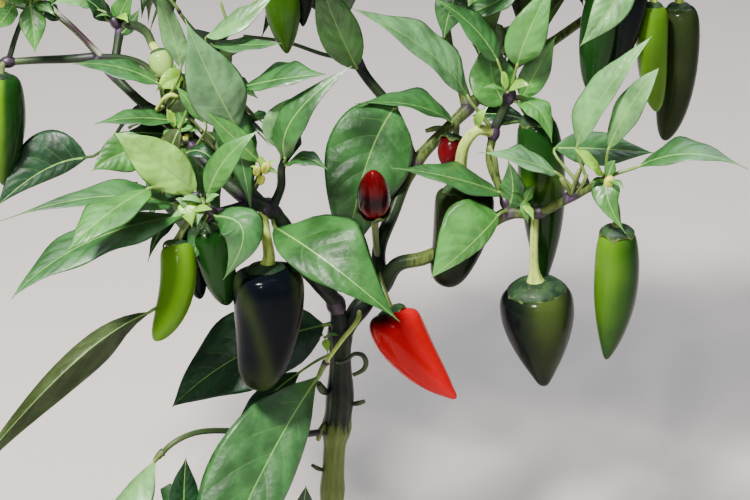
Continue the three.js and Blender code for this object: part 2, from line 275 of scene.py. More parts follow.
def blade_grid(leaf, starts, columns, pucker=0.0, lag=0.0):
    """The upper side's points: a row for each start along the midrib, columns from left to right."""
    start = np.asarray(starts, float)[:, None]
    column = np.asarray(columns, float)[None, :]
    rib = np.minimum(MIDRIB_SHARE, MIDRIB_HALF * (MIDRIB_AT_BASE - start) / leaf.half_width(start))
    out = np.minimum(1.0, rib + (1 - rib) * np.abs(column))
    across = np.where(column > 0, out, -out)
    along = start + VEIN_SWEEP * 4 * start * (1 - start) * out**VEIN_BEND
    middle, forward = bowed(leaf.base, leaf.through, leaf.tip, along[..., None])
    normal = unit(leaf.face - np.sum(forward * leaf.face, axis=-1, keepdims=True) * forward)
    sideways = np.cross(forward, normal)
    turn = np.radians(leaf.twist) * (along - TWIST_FROM)[..., None]
    sideways, normal = (sideways * np.cos(turn) + normal * np.sin(turn),
                        normal * np.cos(turn) - sideways * np.sin(turn))
    half = MM * leaf.half_width(along) * (1 - leaf.lean * np.sign(across) * out)
    fold, droop = math.radians(leaf.fold), math.radians(leaf.droop)
    spread = half * across * np.cos(fold - droop * out)
    ripple = np.sin(2 * np.pi * (EDGE_WAVES * along + lag) + OTHER_EDGE_LAG * np.sign(across))
    rise = half * out * np.sin(fold - droop * out / 2) + leaf.wave * half * out**2 * ripple
    phase = (start - FIRST_VEIN) / VEIN_GAP - np.where(across > 0, 0.5, 0.0)
    between_veins = np.abs(np.sin(np.pi * phase)) ** SWELL_FULLNESS
    in_field = (phase > -0.5) * (start < LAST_VEIN + VEIN_GAP)
    inside_edge = np.maximum(0, np.sin(np.pi * out)) ** SWELL_FULLNESS
    swell = pucker * half * between_veins * in_field * inside_edge
    points = middle + sideways * spread[..., None] + normal * (rise + swell)[..., None]
    return points, normal, out, along

# %% [markdown]
# ## The leaves that the photograph shows
#
# These leaves give the picture its character, so each is placed one by one: where its blade starts, a spot
# that its midrib passes, and its tip, each a pixel with a depth. Then come its width in millimetres and
# how its upper side is turned, seen from the camera: right, up and towards it. The last spot is the one
# on a limb or twig that the leaf stalk comes from, so that each leaf hangs on the plant when it is seen
# from the side too.

# %% The leaves of the photograph
def shown(base, through, tip, wide, face, grows_from, **shape):
    return Leaf(spot(*base), spot(*through), spot(*tip), wide, facing(*face), spot(*grows_from), **shape)


SHOWN_LEAVES = {
    # The left head: the long leaves that reach towards the left edge.
    "left_reaching": shown((174, 205, -46), (98, 197, -58), (0, 221, -70), 25, (0.1, 0.9, 0.7),
        (205, 213, -45), fold=14, droop=24, widest=0.3),
    "left_lowest": shown((185, 215, -46), (86, 243, -76), (11, 299, -100), 30, (-0.2, 1, 0.85),
        (208, 214, -45), fold=12, droop=26),
    "left_inner_hanging": shown((149, 188, -58), (106, 215, -90), (67, 251, -104), 25, (-0.35, 0.55, 0.9),
        (196, 208, -45), fold=10, droop=20, tone="light"),
    "left_broad_lit": shown((197, 193, -45), (155, 160, -52), (113, 132, -52), 22, (-0.3, 0.25, 1),
        (207, 211, -45), fold=12, droop=20, tone="lit"),
    "left_behind_lit": shown((152, 148, -30), (120, 154, -34), (92, 171, -40), 20, (0.0, -0.2, 1),
        (195, 150, -22), tone="light"),
    "left_head_right": shown((207, 197, -46), (225, 160, -54), (258, 131, -54), 14, (0.2, 0.5, 1),
        (210, 212, -45), fold=14, tone="light"),
    "left_head_small": shown((260, 162, -36), (232, 136, -42), (206, 111, -44), 12, (-0.3, 0.4, 1),
        (249, 200, -35), fold=14, tone="light"),
    "left_curled": shown((213, 216, -46), (243, 232, -60), (223, 280, -62), 23, (0.4, 0.2, 1),
        (212, 213, -45), fold=6, droop=20),
    "left_under": shown((205, 220, -48), (198, 240, -50), (192, 263, -52), 12, (0.1, 0.3, 1),
        (208, 214, -44)),
    "left_down_young": shown((184, 200, -48), (188, 211, -54), (192, 227, -56), 9, (0, 0.4, 1),
        (198, 206, -45), tone="young"),
    "left_edge_dark": shown((87, 158, 6), (44, 170, 2), (-5, 208, -8), 25, (0.0, -0.2, 1), (144, 104, 0),
        fold=10, lean=-0.5, tone="dark", stalk_paint="twig"),
    "head_inner_small": shown((186, 154, -34), (200, 151, -40), (215, 162, -42), 9, (0, 0.6, 0.8),
        (195, 150, -22), tone="dark"),
    "left_sliver": shown((176, 222, -42), (160, 232, -46), (148, 262, -50), 7, (0.6, 0.2, 0.6),
        (196, 210, -44), tone="dark"),
    # Over the left bough: the leaves of the arm and of the crown.
    "arm_wide": shown((159, 84, -14), (118, 67, -14), (72, 64, -10), 19, (0, 0.9, 0.6), (165, 117, -10),
        fold=10, droop=24),
    "arm_low": shown((177, 122, -16), (137, 118, -20), (94, 124, -20), 18, (0, 0.9, 0.6), (165, 117, -10),
        lean=-0.2),
    "arm_low_dark": shown((172, 134, -10), (146, 133, -12), (124, 133, -12), 16, (0, 0.8, 0.8),
        (176, 128, -14), tone="dark"),
    "arm_narrow": shown((207, 124, -26), (190, 103, -28), (176, 86, -28), 7, (-0.4, 0.3, 1),
        (195, 150, -22), tone="light"),
    "crown_tall": shown((238, 130, -36), (210, 77, -42), (185, 19, -40), 28, (0.06, 0.15, 1),
        (236, 150, -35), fold=14, widest=0.36, tone="silver"),
    "crown_left_tall": shown((181, 68, -20), (171, 30, -22), (154, -18, -20), 12, (-0.3, 0.2, 1),
        (160, 110, -12), tone="pale"),
    "crown_right_slim": shown((206, 36, -26), (238, 21, -30), (275, -6, -26), 15, (0.2, 0.8, 0.9),
        (226, 85, -30), tone="pale"),
    "crown_flat_slim": shown((212, 43, -26), (245, 45, -34), (282, 43, -36), 15, (0, 1, 0.7),
        (228, 90, -30)),
    "crown_right_wide": shown((240, 88, -30), (281, 79, -42), (326, 74, -44), 22, (0, 0.9, 0.9),
        (238, 120, -34), fold=14, lean=0.4),
    # Over the centre.
    "centre_rising": shown((286, 160, -38), (294, 117, -46), (352, 66, -42), 18, (-0.3, 0.4, 1),
        (282, 165, -34), fold=14),
    "centre_behind": shown((280, 148, -34), (279, 118, -38), (316, 92, -38), 13, (0.2, 0.5, 1),
        (282, 168, -34), fold=14, tone="pale"),
    "centre_flat": shown((286, 165, -36), (305, 158, -42), (328, 170, -46), 14, (0, 0.9, 0.7),
        (282, 168, -34)),
    "middle_broad": shown((274, 227, -32), (330, 264, -64), (400, 322, -72), 38, (0.55, -0.1, 1),
        (271, 212, -30), fold=10, droop=20, lean=0.34, widest=0.36, tone="dull"),
    # Low, at the fork.
    "low_behind_fruit": shown((325, 325, -4), (241, 355, -16), (172, 407, -18), 45, (-0.2, 0.5, 1),
        (338, 322, 0), fold=18, droop=20, fullness=0.8, tone="dark"),
    "low_front_large": shown((319, 376, -17), (260, 476, -62), (186, 640, -96), 43, (0.2, -0.1, 1),
        (326, 362, -16), fold=14, droop=24, widest=0.5, fullness=1.35, lean=-0.24, stalk=1.15),
    "low_cut_off": shown((157, 458, -62), (119, 506, -70), (62, 580, -88), 20, (-0.2, 0.5, 0.9),
        (162, 454, -61), fold=10, lean=0.6, fullness=1.4, widest=0.5, tone="pale", stalk=1.9,
        stalk_paint="fruit_stalk"),
    "low_small_dark": shown((302, 522, -18), (304, 505, -20), (306, 485, -20), 11, (0.2, 0.2, 1),
        (330, 520, 0), tone="dark", stalk=1.6),
    "low_point": shown((184, 522, -60), (184, 490, -60), (186, 457, -58), 15, (0.2, 0.2, 1),
        (196, 500, -50), tone="dark"),
    "low_behind_large": shown((300, 372, -4), (262, 402, -6), (230, 436, -10), 17, (-0.3, 0.4, 0.9),
        (322, 352, 0), fold=8, tone="dark"),
    "low_left_long": shown((151, 312, -66), (64, 372, -100), (-48, 500, -112), 27, (0.12, -0.08, 1),
        (212, 214, -44), fold=-50, droop=4, lean=0.35, tone="olive"),
    # Upright bough: the heart of the plant.
    "heart_broad": shown((396, 106, 46), (366, 166, 30), (346, 262, 16), 47, (0.1, -0.2, 1), (395, 115, 54),
        fold=6, droop=24, fullness=0.75),
    "heart_over": shown((454, 124, 54), (412, 105, 48), (354, 104, 40), 26, (0, 0.9, 0.6), (449, 128, 58),
        fold=20, droop=20, widest=0.34, lean=-0.2),
    "heart_left_tall": shown((358, 70, 60), (336, 24, 54), (315, -34, 50), 22, (-0.1, 0.2, 1),
        (360, 68, 62), tone="light"),
    # Inner branch.
    "inner_long": shown((468, 98, 8), (427, 51, 0), (352, 8, -6), 29, (-0.2, 0.75, 0.8), (492, 132, 10),
        fold=14, lean=-0.35, tone="silver"),
    "inner_upper": shown((498, 62, 14), (471, 25, 10), (430, -4, 8), 19, (-0.2, 0.7, 0.8), (505, 100, 12),
        widest=0.34, lean=-0.1),
    "inner_tall": shown((517, 66, 12), (529, 31, 8), (556, -24, 12), 20, (0.1, 0.3, 1), (510, 100, 12),
        tone="light"),
    "inner_tall_behind": shown((521, 100, 16), (537, 70, 18), (556, 36, 20), 15, (0.2, -0.1, 1),
        (512, 98, 12), tone="light"),
    "inner_young": shown((476, 129, 8), (479, 118, 3), (488, 107, 3), 6, (-0.3, 0.3, 1), (489, 132, 9),
        tone="young"),
    "inner_short_right": shown((517, 103, 10), (539, 110, 2), (552, 143, -4), 17, (0.4, 0.6, 0.8),
        (508, 100, 12), tone="light"),
    "inner_behind": shown((506, 104, 18), (492, 76, 22), (492, 40, 26), 26, (0.3, -0.1, 1), (498, 125, 12),
        fullness=0.7, tone="light"),
    "inner_low_shade": shown((525, 120, 18), (498, 114, 18), (472, 116, 18), 14, (0, 0.6, 0.8),
        (496, 127, 12), tone="dark"),
    "top_middle_over": shown((520, -16, 30), (488, 6, 26), (448, 16, 24), 16, (0, 0.8, 0.8), (530, -4, 60)),
    "top_middle_low": shown((461, -14, 32), (450, 10, 30), (444, 39, 28), 17, (0, 0.3, 1), (470, -30, 50)),
    # Along the right bough.
    "right_over_fruit": shown((501, 193, -2), (448, 177, -14), (392, 168, -20), 26, (-0.1, 0.9, 0.8),
        (502, 205, 0), widest=0.3, fullness=0.8, lean=-0.15),
    "right_draped": shown((499, 214, -13), (470, 245, -32), (431, 278, -35), 25, (0.05, -0.2, 1),
        (508, 212, -4), fold=0, droop=8, widest=0.38, fullness=0.75, lean=-0.6, tone="light"),
    "right_short_over": shown((557, 173, -14), (520, 160, -22), (478, 152, -26), 23, (0, 0.9, 0.75),
        (576, 194, -15), widest=0.3, lean=-0.3, tone="silver"),
    "right_edge_on": shown((508, 207, -4), (513, 188, -6), (508, 160, -6), 15, (-0.4, 0.1, 0.9),
        (508, 212, -4)),
    "right_small_point": shown((524, 200, -10), (526, 210, -12), (528, 223, -12), 6, (0.2, 0.3, 1),
        (530, 212, -8), tone="light"),
    "right_rising": shown((577, 146, -16), (602, 97, -22), (652, 36, -20), 18, (-0.5, 0.5, 1),
        (590, 186, -17), fold=18, fullness=0.8, lean=0.3, tone="pale"),
    "right_rising_lower": shown((608, 150, -20), (629, 108, -26), (659, 68, -26), 15, (-0.3, 0.4, 1),
        (604, 180, -20), widest=0.48, fullness=1.0, tone="pale"),
    "right_reaching": shown((638, 167, -22), (690, 154, -34), (748, 169, -42), 22, (0.1, 0.9, 0.85),
        (607, 180, -20), fold=14, widest=0.33, lean=0.35),
    "right_behind": shown((554, 148, -2), (604, 149, 4), (654, 153, 6), 19, (0.2, 0.3, 0.9),
        (580, 190, -15)),
    "right_small_left": shown((604, 175, -20), (592, 160, -26), (573, 148, -28), 12, (0, 0.7, 0.9),
        (603, 180, -20), fold=4, tone="young"),
    "right_hanging": shown((606, 178, -21), (609, 203, -30), (626, 234, -32), 15, (-0.1, 0.4, 1),
        (606, 181, -20), fold=6, widest=0.24, fullness=0.5, tone="light"),
    "top_right_hanging": shown((632, -34, 40), (610, 8, 30), (580, 46, 26), 19, (0.2, 0.15, 1),
        (640, -40, 60), tone="pale"),
    "pod_leaf": shown((184, 78, -10), (171, 80, -12), (156, 91, -14), 11, (0.1, -0.2, 1), (165, 117, -10),
        tone="young"),
    # Upper left corner and over the arm: young leaves.
    "node_leaf_up": shown((117, 26, 28), (122, 10, 24), (134, -12, 22), 12, (0.1, 0.4, 1), (113, 28, 28),
        tone="light"),
    "node_leaf_right": shown((121, 34, 24), (130, 24, 20), (140, 8, 18), 7, (0.4, 0.3, 1), (115, 30, 27)),
    "node_leaf_left": shown((108, 22, 28), (98, 8, 26), (84, -2, 24), 10, (-0.2, 0.5, 1), (112, 26, 28),
        tone="dark"),
    "node_leaf_far": shown((92, 8, 26), (74, 0, 22), (52, 4, 18), 10, (-0.1, 0.7, 0.8), (104, 14, 27),
        tone="pale"),
    "striped_leaf": shown((60, 20, 24), (50, 10, 22), (44, 0, 20), 9, (0, 0.5, 1), (98, 58, 17),
        tone="dark"),
    "corner_hanging": shown((30, 4, 4), (33, 26, -2), (35, 53, -6), 13, (0.2, 0.4, 1), (45, -10, 10),
        tone="light"),
    "corner_left": shown((14, 4, 4), (6, 16, 2), (-6, 30, 2), 12, (-0.3, 0.3, 1), (30, -10, 8),
        tone="light"),
}
print("leaves placed by hand:", len(SHOWN_LEAVES))

# %% [markdown]
# ## A short way to write shader sums
#
# A node tree is hard to read as code. Here a socket is wrapped in a small class whose `+`, `-` and `*`
# add Math nodes, so a mask reads as the formula that it is. All other nodes come from one method.

# %% Shader sums
class Value:
    """A number that varies over a surface: the output of a node."""

    def __init__(self, paint, socket):
        self.paint, self.socket = paint, socket

    def _sum(self, operation, first, second=0.0):
        node = self.paint.node("ShaderNodeMath", {"operation": operation}, {0: first, 1: second})
        return Value(self.paint, node.outputs[0])

    def __add__(self, other):
        return self._sum("ADD", self, other)

    def __sub__(self, other):
        return self._sum("SUBTRACT", self, other)

    def __rsub__(self, other):
        return self._sum("SUBTRACT", other, self)

    def __mul__(self, other):
        return self._sum("MULTIPLY", self, other)

    __radd__, __rmul__ = __add__, __mul__

    def sine(self):
        return self._sum("SINE", self)

    def between(self, low, high):
        """0 below `low`, 1 above `high` and a smooth step from one to the other."""
        node = self.paint.node("ShaderNodeMapRange", {"interpolation_type": "SMOOTHSTEP"},
                               {"Value": self, "From Min": low, "From Max": high})
        return Value(self.paint, node.outputs["Result"])


class Paint:
    """A material with one Principled shader, whose numbers are given by the names of its sockets."""

    def __init__(self, name, **numbers):
        self.material = bpy.data.materials.new(name)
        self.material.use_nodes = True
        self.tree = self.material.node_tree
        self.shader = self.tree.nodes["Principled BSDF"]
        for words, number in numbers.items():
            self.set(words.replace("_", " ").title().replace("Ior", "IOR"), number)

    def set(self, name, number):
        """Puts a number, a colour or a link on one of the shader's sockets."""
        self.put(self.shader.inputs[name], number)

    def put(self, socket, value):
        if isinstance(value, Value):
            self.tree.links.new(value.socket, socket)
        elif isinstance(value, bpy.types.NodeSocket):
            self.tree.links.new(value, socket)
        elif hasattr(socket.default_value, "__len__") and len(value) < len(socket.default_value):
            socket.default_value = (*value, 1.0)
        else:
            socket.default_value = value

    def node(self, kind, settings=None, values=None):
        """Adds a node: its settings first, then what goes into its sockets."""
        node = self.tree.nodes.new(kind)
        for name, setting in (settings or {}).items():
            setattr(node, name, setting)
        for name, value in (values or {}).items():
            self.put(node.inputs[name], value)
        return node

    def places(self, kind="Object"):
        return self.node("ShaderNodeTexCoord").outputs[kind]

    def attribute(self, name):
        """A number that each point of the mesh keeps."""
        return Value(self, self.node("ShaderNodeAttribute", {"attribute_name": name}).outputs["Fac"])

    def parts(self, vector):
        """The three numbers of a vector."""
        split = self.node("ShaderNodeSeparateXYZ", values={0: vector})
        return [Value(self, part) for part in split.outputs]

    def stretched(self, vector, scale):
        return self.node("ShaderNodeMapping", values={"Vector": vector, "Scale": scale}).outputs[0]

    def noise(self, vector, scale, detail=2.0):
        node = self.node("ShaderNodeTexNoise", {"noise_dimensions": "3D"},
                         {"Vector": vector, "Scale": scale, "Detail": detail})
        return Value(self, node.outputs[0])

    def cells(self, vector, scale):
        node = self.node("ShaderNodeTexVoronoi", {"feature": "F1"}, {"Vector": vector, "Scale": scale})
        return Value(self, node.outputs["Distance"])

    def mixed(self, amount, first, second, blend="MIX"):
        """A colour between two others."""
        node = self.node("ShaderNodeMix", {"data_type": "RGBA", "blend_type": blend, "clamp_factor": True},
                         {0: amount, 6: first, 7: second})
        return node.outputs[2]

    def bumped(self, height, strength, distance):
        node = self.node("ShaderNodeBump", values={"Height": height, "Strength": strength,
                                                   "Distance": distance})
        self.set("Normal", node.outputs["Normal"])

# %% [markdown]
# ## Leaf finishes
#
# A pepper leaf is dark and waxy above, so its folds show a pale, broad sheen, and it is paler and duller
# below. Old leaves are dark, young ones are yellow-green, and one that turns away from the sky is olive
# or dull, with hardly any wax to see. The tones paint light and shade as well: a leaf in shade takes a
# dark paint, a sunlit one a light paint, a pale or grey-green one stands for a painted sheen, and the
# lit paint is painted sunlight that shines through the blade. The colours are plain base colours dealt
# out leaf by leaf. Fine pores come from a bump in Object coordinates, which no leaf can stretch.

# %% Leaf paints
# Besides age, the tones paint light and shade: dark for a leaf in shade, light for a sunlit one, pale and
# the grey-green one for a painted sheen, lit for painted sunlight shining through the blade.
LEAF_TONES = {
    "dark": (0.008, 0.040, 0.013),
    "mid": (0.022, 0.103, 0.019),
    "light": (0.046, 0.185, 0.026),
    "pale": (0.100, 0.262, 0.075),
    "lit": (0.200, 0.450, 0.060),
    "silver": (0.078, 0.205, 0.072),
    "dull": (0.024, 0.098, 0.018),
    "olive": (0.032, 0.050, 0.014),
    "young": (0.190, 0.420, 0.020),
}
LEAF_WAX = 0.4
DULLER_WAX = {"dark": 0.12, "olive": 0.0, "dull": 0.03}
MIDRIB_GREEN = (0.170, 0.340, 0.070)
UNDER_GREEN = (0.085, 0.170, 0.045)
VEIN_PALER = 0.14


def leaf_paint(name, colour, roughness=0.42, wax=LEAF_WAX, mottle=0.4):
    """Waxy leaf skin: a faint mottling, fine pores and an uneven sheen."""
    paint = Paint(name, roughness=roughness, coat_weight=wax, coat_roughness=0.34,
                  specular_ior_level=0.2 + 0.75 * wax)
    place = paint.places()
    patches = paint.noise(place, 70.0, detail=3.0)
    darker = tuple(part * (1 - mottle) for part in colour)
    lighter = tuple(min(1.0, part * (1 + mottle) + 0.004) for part in colour)
    paint.set("Base Color", paint.mixed(patches.between(0.3, 0.7), darker, lighter))
    pores = paint.noise(place, 900.0)
    paint.set("Roughness", roughness + (pores - 0.5) * 0.25)
    netting = paint.cells(place, 300.0).between(0.15, 0.75)
    paint.bumped(pores * 0.5 + paint.noise(place, 260.0) + netting * 0.6, 0.5, 0.0004)
    return paint.material


LEAF_PAINTS = {}
for tone, colour in LEAF_TONES.items():
    wax = DULLER_WAX.get(tone, LEAF_WAX)
    veined = tuple((1 - VEIN_PALER) * part + VEIN_PALER * rib for part, rib in zip(colour, MIDRIB_GREEN))
    LEAF_PAINTS[tone] = leaf_paint(f"leaf_{tone}", colour, wax=wax)
    LEAF_PAINTS[f"{tone} vein"] = leaf_paint(f"vein_{tone}", veined, wax=wax, mottle=0.1)
LEAF_PAINTS["midrib"] = leaf_paint("leaf_midrib", MIDRIB_GREEN, roughness=0.4, mottle=0.12)
LEAF_PAINTS["under"] = leaf_paint("leaf_under", UNDER_GREEN, roughness=0.5, wax=0.05)
print("leaf paints:", len(LEAF_PAINTS))

# %% [markdown]
# ## Many small things in one mesh
#
# Leaves, stalks and twigs come in hundreds, so they aren't objects of their own. Each is worked out as
# arrays of points and faces and laid on a pile, and a pile becomes one joined mesh with a material slot
# for each paint.

# %% Piles of small shapes
class Pile:
    """Shapes to be joined into one mesh, each face with its own paint."""

    def __init__(self, paints):
        self.paints = paints
        self.names = list(paints)
        self.points, self.faces, self.slots, self.maps = [], [], [], []
        self.count = 0

    def add(self, points, faces, paint, uv):
        """`paint` is one paint's name, or a name for each face."""
        self.points.append(np.asarray(points, float))
        self.faces += [[corner + self.count for corner in face] for face in faces]
        names = [paint] * len(faces) if isinstance(paint, str) else paint
        self.slots += [self.names.index(name) for name in names]
        self.maps.append(np.asarray(uv, float))
        self.count += len(points)

    def add_tube(self, route, radii, paint, sides):
        """A closed round bar along a route. Its UV V runs from the start to the end."""
        forward = unit(np.gradient(np.asarray(route, float), axis=0))
        side = unit(np.cross(forward[0], (0.31, 0.95, 0.1)))
        turns = (np.arange(sides) * 2 * np.pi / sides)[:, None]
        rings = []
        for place, ahead, radius in zip(route, forward, radii):
            side = unit(side - ahead * (side @ ahead))
            rings.append(place + radius * (np.cos(turns) * side + np.sin(turns) * np.cross(ahead, side)))
        last = (len(route) - 1) * sides
        faces = [[r + s, r + (s + 1) % sides, r + sides + (s + 1) % sides, r + sides + s]
                 for r in range(0, last, sides) for s in range(sides)]
        faces.append(list(reversed(range(sides))))
        faces.append(list(range(last, last + sides)))
        uv = [(s / sides, r / (len(route) - 1)) for r in range(len(route)) for s in range(sides)]
        self.add(np.vstack(rings), faces, paint, uv)

    def piece(self, name, slot):
        """The pile as one smooth object that rides with the plant."""
        mesh = bpy.data.meshes.new(name)
        mesh.from_pydata(np.vstack(self.points).tolist(), [], self.faces)
        for paint in self.paints.values():
            mesh.materials.append(paint)
        mesh.polygons.foreach_set("material_index", self.slots)
        mesh.polygons.foreach_set("use_smooth", [True] * len(self.faces))
        corners = np.zeros(len(mesh.loops), int)
        mesh.loops.foreach_get("vertex_index", corners)
        mesh.uv_layers.new(name="UVMap").data.foreach_set("uv", np.vstack(self.maps)[corners].ravel())
        mesh.update()
        piece = bpy.data.objects.new(name, mesh)
        bpy.context.scene.collection.objects.link(piece)
        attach(piece, "root")
        triangles = sum(len(face) - 2 for face in self.faces)
        print(f"{name}: {len(self.points)} shapes, {triangles} triangles")
        return piece


def arc(start, leave, arrive, end, count):
    """A curve from start to end that leaves along one direction and arrives along another."""
    t = np.linspace(0, 1, count)[:, None]
    reach = np.linalg.norm(end - start) / 3
    first, second = start + unit(leave) * reach, end - unit(arrive) * reach
    return (1 - t) ** 3 * start + 3 * t * (1 - t) ** 2 * first + 3 * t**2 * (1 - t) * second + t**3 * end

# %% [markdown]
# ## Building a blade
#
# A blade is a thin closed lens: an upper and an under side that share their rim. Narrow strips of
# faces along the midrib and the side veins carry the paler vein paint, and on the under side the midrib
# stands out as a rib. A leaf near the camera has a row of faces for each vein. The leaves further back
# use the same sums with far fewer rows.

# %% Blades and their stalks
VEIN_HALF = 0.0035
BLADE_THICKNESS = 0.3
MIDRIB_STANDS_OUT = 0.02
VEIN_REACH = 0.72
PUCKER = 0.038
FINE_COLUMNS = (0.0, 0.18, 0.38, 0.58, 0.76, 0.9, 1.0)
PLAIN_COLUMNS = (0.0, 0.5, 1.0)
PLAIN_ROWS = (0.0, 0.07, 0.19, 0.34, 0.52, 0.7, 0.87, 1.0)


def both_ways(half):
    """Columns from the left edge to the right one. The two nearest the middle bound the midrib."""
    return [-place - 1e-6 for place in reversed(half)] + [place + 1e-6 for place in half]


def vein_rows():
    """Starts along the midrib: a narrow strip for each vein, left and right by turns, and wide ones."""
    starts = [0.0, 0.03, 0.065]
    for turn in range(2 * VEINS):
        vein = FIRST_VEIN + turn * VEIN_GAP / 2
        starts += [vein - VEIN_HALF, vein + VEIN_HALF, vein + VEIN_GAP / 4]
    return starts + [0.85, 0.89, 0.93, 0.965, 1.0]


FINE_ROWS = vein_rows()
STALK_RADIUS, STALK_PER_WIDTH = 0.5, 0.02
STALK_POINTS, STALK_SIDES = 9, 7


def add_blade(pile, leaf, fine=True, lag=0.0):
    """One blade on the pile, as a closed lens."""
    rows = FINE_ROWS if fine else PLAIN_ROWS
    columns = both_ways(FINE_COLUMNS if fine else PLAIN_COLUMNS)
    upper, normal, out, along = blade_grid(leaf, rows, columns, PUCKER if fine else 0.0, lag)
    rib = (out < 0.5) * (np.abs(np.array(columns)) < 0.01)
    depth = BLADE_THICKNESS * (1 - out**4) + rib * leaf.wide * MIDRIB_STANDS_OUT * (1 - along)
    under = upper - normal * (depth * MM)[..., None]
    inside = np.zeros(out.shape, bool)
    inside[1:-1, 1:-1] = True
    number = np.arange(out.size).reshape(out.shape)
    below = np.where(inside, out.size + np.cumsum(inside.ravel()).reshape(out.shape) - 1, number)
    uv = np.stack([0.5 + 0.5 * np.sign(columns) * out, along], -1)
    faces, paints = [], []
    middle = (len(columns) - 1) // 2
    strips = 0
    for r in range(len(rows) - 1):
        is_strip = fine and rows[r + 1] - rows[r] < 2.5 * VEIN_HALF
        strips += is_strip
        for c in range(len(columns) - 1):
            own_side = c < middle if strips % 2 else c > middle
            is_vein = is_strip and own_side and out[r, c:c + 2].max() < VEIN_REACH
            corners = ((r, c), (r, c + 1), (r + 1, c + 1), (r + 1, c))
            faces.append([int(number[corner]) for corner in corners])
            faces.append([int(below[corners[k]]) for k in (0, 3, 2, 1)])
            above = leaf.tone + (" vein" if is_vein else "")
            paints += ["midrib", "midrib"] if c == middle else [above, "under"]
    pile.add(np.vstack([upper.reshape(-1, 3), under[inside]]), faces, paints,
             np.vstack([uv.reshape(-1, 2), uv[inside]]))


def add_leaf_stalk(pile, leaf):
    """The stalk from the limb to the blade, joined to the midrib in its own direction."""
    ahead = bowed(leaf.base, leaf.through, leaf.tip, 0.0)[1]
    start = on_limb(leaf.grows_from)
    end = leaf.base + ahead * 2 * MM
    route = arc(start, unit(leaf.base - start) + 0.4 * UP, ahead, end, STALK_POINTS)
    share = np.linspace(0, 1, STALK_POINTS)
    radius = leaf.stalk * (STALK_RADIUS + STALK_PER_WIDTH * leaf.wide) * MM
    radii = radius * (1 + 0.35 * (1 - share) ** 3 - 0.25 * share)
    pile.add_tube(route, radii, leaf.stalk_paint, STALK_SIDES)

# %% [markdown]
# ## Leaves on their stalks
#
# The placed leaves are the plant's face, so each is built finely and grows on its own curved stalk from
# the nearest limb or twig. A stalk is purple where it leaves the limb and pale green at the blade.

# %% Stalk and twig finishes
def stalk_paint(name, foot, middle, end):
    """A stem that changes colour along its length, with faint stripes. UV V runs from foot to end."""
    paint = Paint(name, roughness=0.42, coat_weight=0.08, coat_roughness=0.3, specular_ior_level=0.3)
    around, along, _ = paint.parts(paint.places("UV"))
    near_foot = paint.mixed(along.between(0.02, 0.3), foot, middle)
    colour = paint.mixed(along.between(0.55, 1.0), near_foot, end)
    darker = paint.mixed(1.0, colour, (0.55, 0.6, 0.5), blend="MULTIPLY")
    stripe = (around * (2 * math.pi * 5)).sine().between(-0.2, 0.8)
    grime = paint.noise(paint.places(), 350.0, detail=3.0)
    paint.set("Base Color", paint.mixed(stripe * grime.between(0.3, 0.6), colour, darker))
    paint.bumped(stripe * 0.5 + grime, 0.4, 0.0002)
    return paint.material


STALK_COLOURS = {
    "leaf_stalk": ((0.060, 0.030, 0.060), (0.120, 0.210, 0.040), (0.200, 0.330, 0.070)),
    "fruit_stalk": ((0.050, 0.070, 0.045), (0.110, 0.160, 0.040), (0.200, 0.250, 0.075)),
    "pale_stalk": ((0.300, 0.380, 0.090), (0.420, 0.540, 0.110), (0.460, 0.600, 0.100)),
    "twig": ((0.024, 0.020, 0.028), (0.018, 0.036, 0.014), (0.050, 0.088, 0.024)),
    "purple_joint": ((0.014, 0.014, 0.016), (0.036, 0.020, 0.040), (0.016, 0.018, 0.018)),
    # Pale at the foot and the end as painted highlights, dark purple between.
    "striped_stalk": ((0.300, 0.300, 0.240), (0.040, 0.022, 0.028), (0.330, 0.360, 0.280)),
    "bud": ((0.180, 0.300, 0.030), (0.480, 0.540, 0.060), (0.640, 0.600, 0.110)),
}
STALK_PAINTS = {name: stalk_paint(name, *colours) for name, colours in STALK_COLOURS.items()}

# %% The placed leaves, split at the middle of the photograph
LAG_STEP = 0.37
TWIG_TAPER, TWIG_SIDES = 0.72, 9
sides = {side: Pile(LEAF_PAINTS) for side in ("left", "right")}
for leaf in SHOWN_LEAVES.values():
    blades = sides["left" if pixels(leaf.through)[0] < PHOTO_MIDDLE[0] else "right"]
    add_blade(blades, leaf, lag=len(blades.points) * LAG_STEP)
for side, blades in sides.items():
    blades.piece(f"shown_leaves_{side}", "foliage")
stalks = Pile(STALK_PAINTS)
for leaf in SHOWN_LEAVES.values():
    add_leaf_stalk(stalks, leaf)
for name, (radius, paint, _) in TWIGS.items():
    route = TWIG_ROUTES[name]
    stalks.add_tube(route, MM * radius * np.linspace(1.0, TWIG_TAPER, len(route)), paint, TWIG_SIDES)

# %% [markdown]
# ## The stem and the boughs
#
# A pepper's stem is green, faintly ribbed along its length, and stained purple where leaves and boughs
# join. Each limb is a path whose cross-section is a ribbed ring, with the thickness given point by
# point, so the root flare and the knuckles at the joints are part of the shape. The paths are turned
# into meshes and joined, and each mesh point keeps a number that says how near a joint it is.

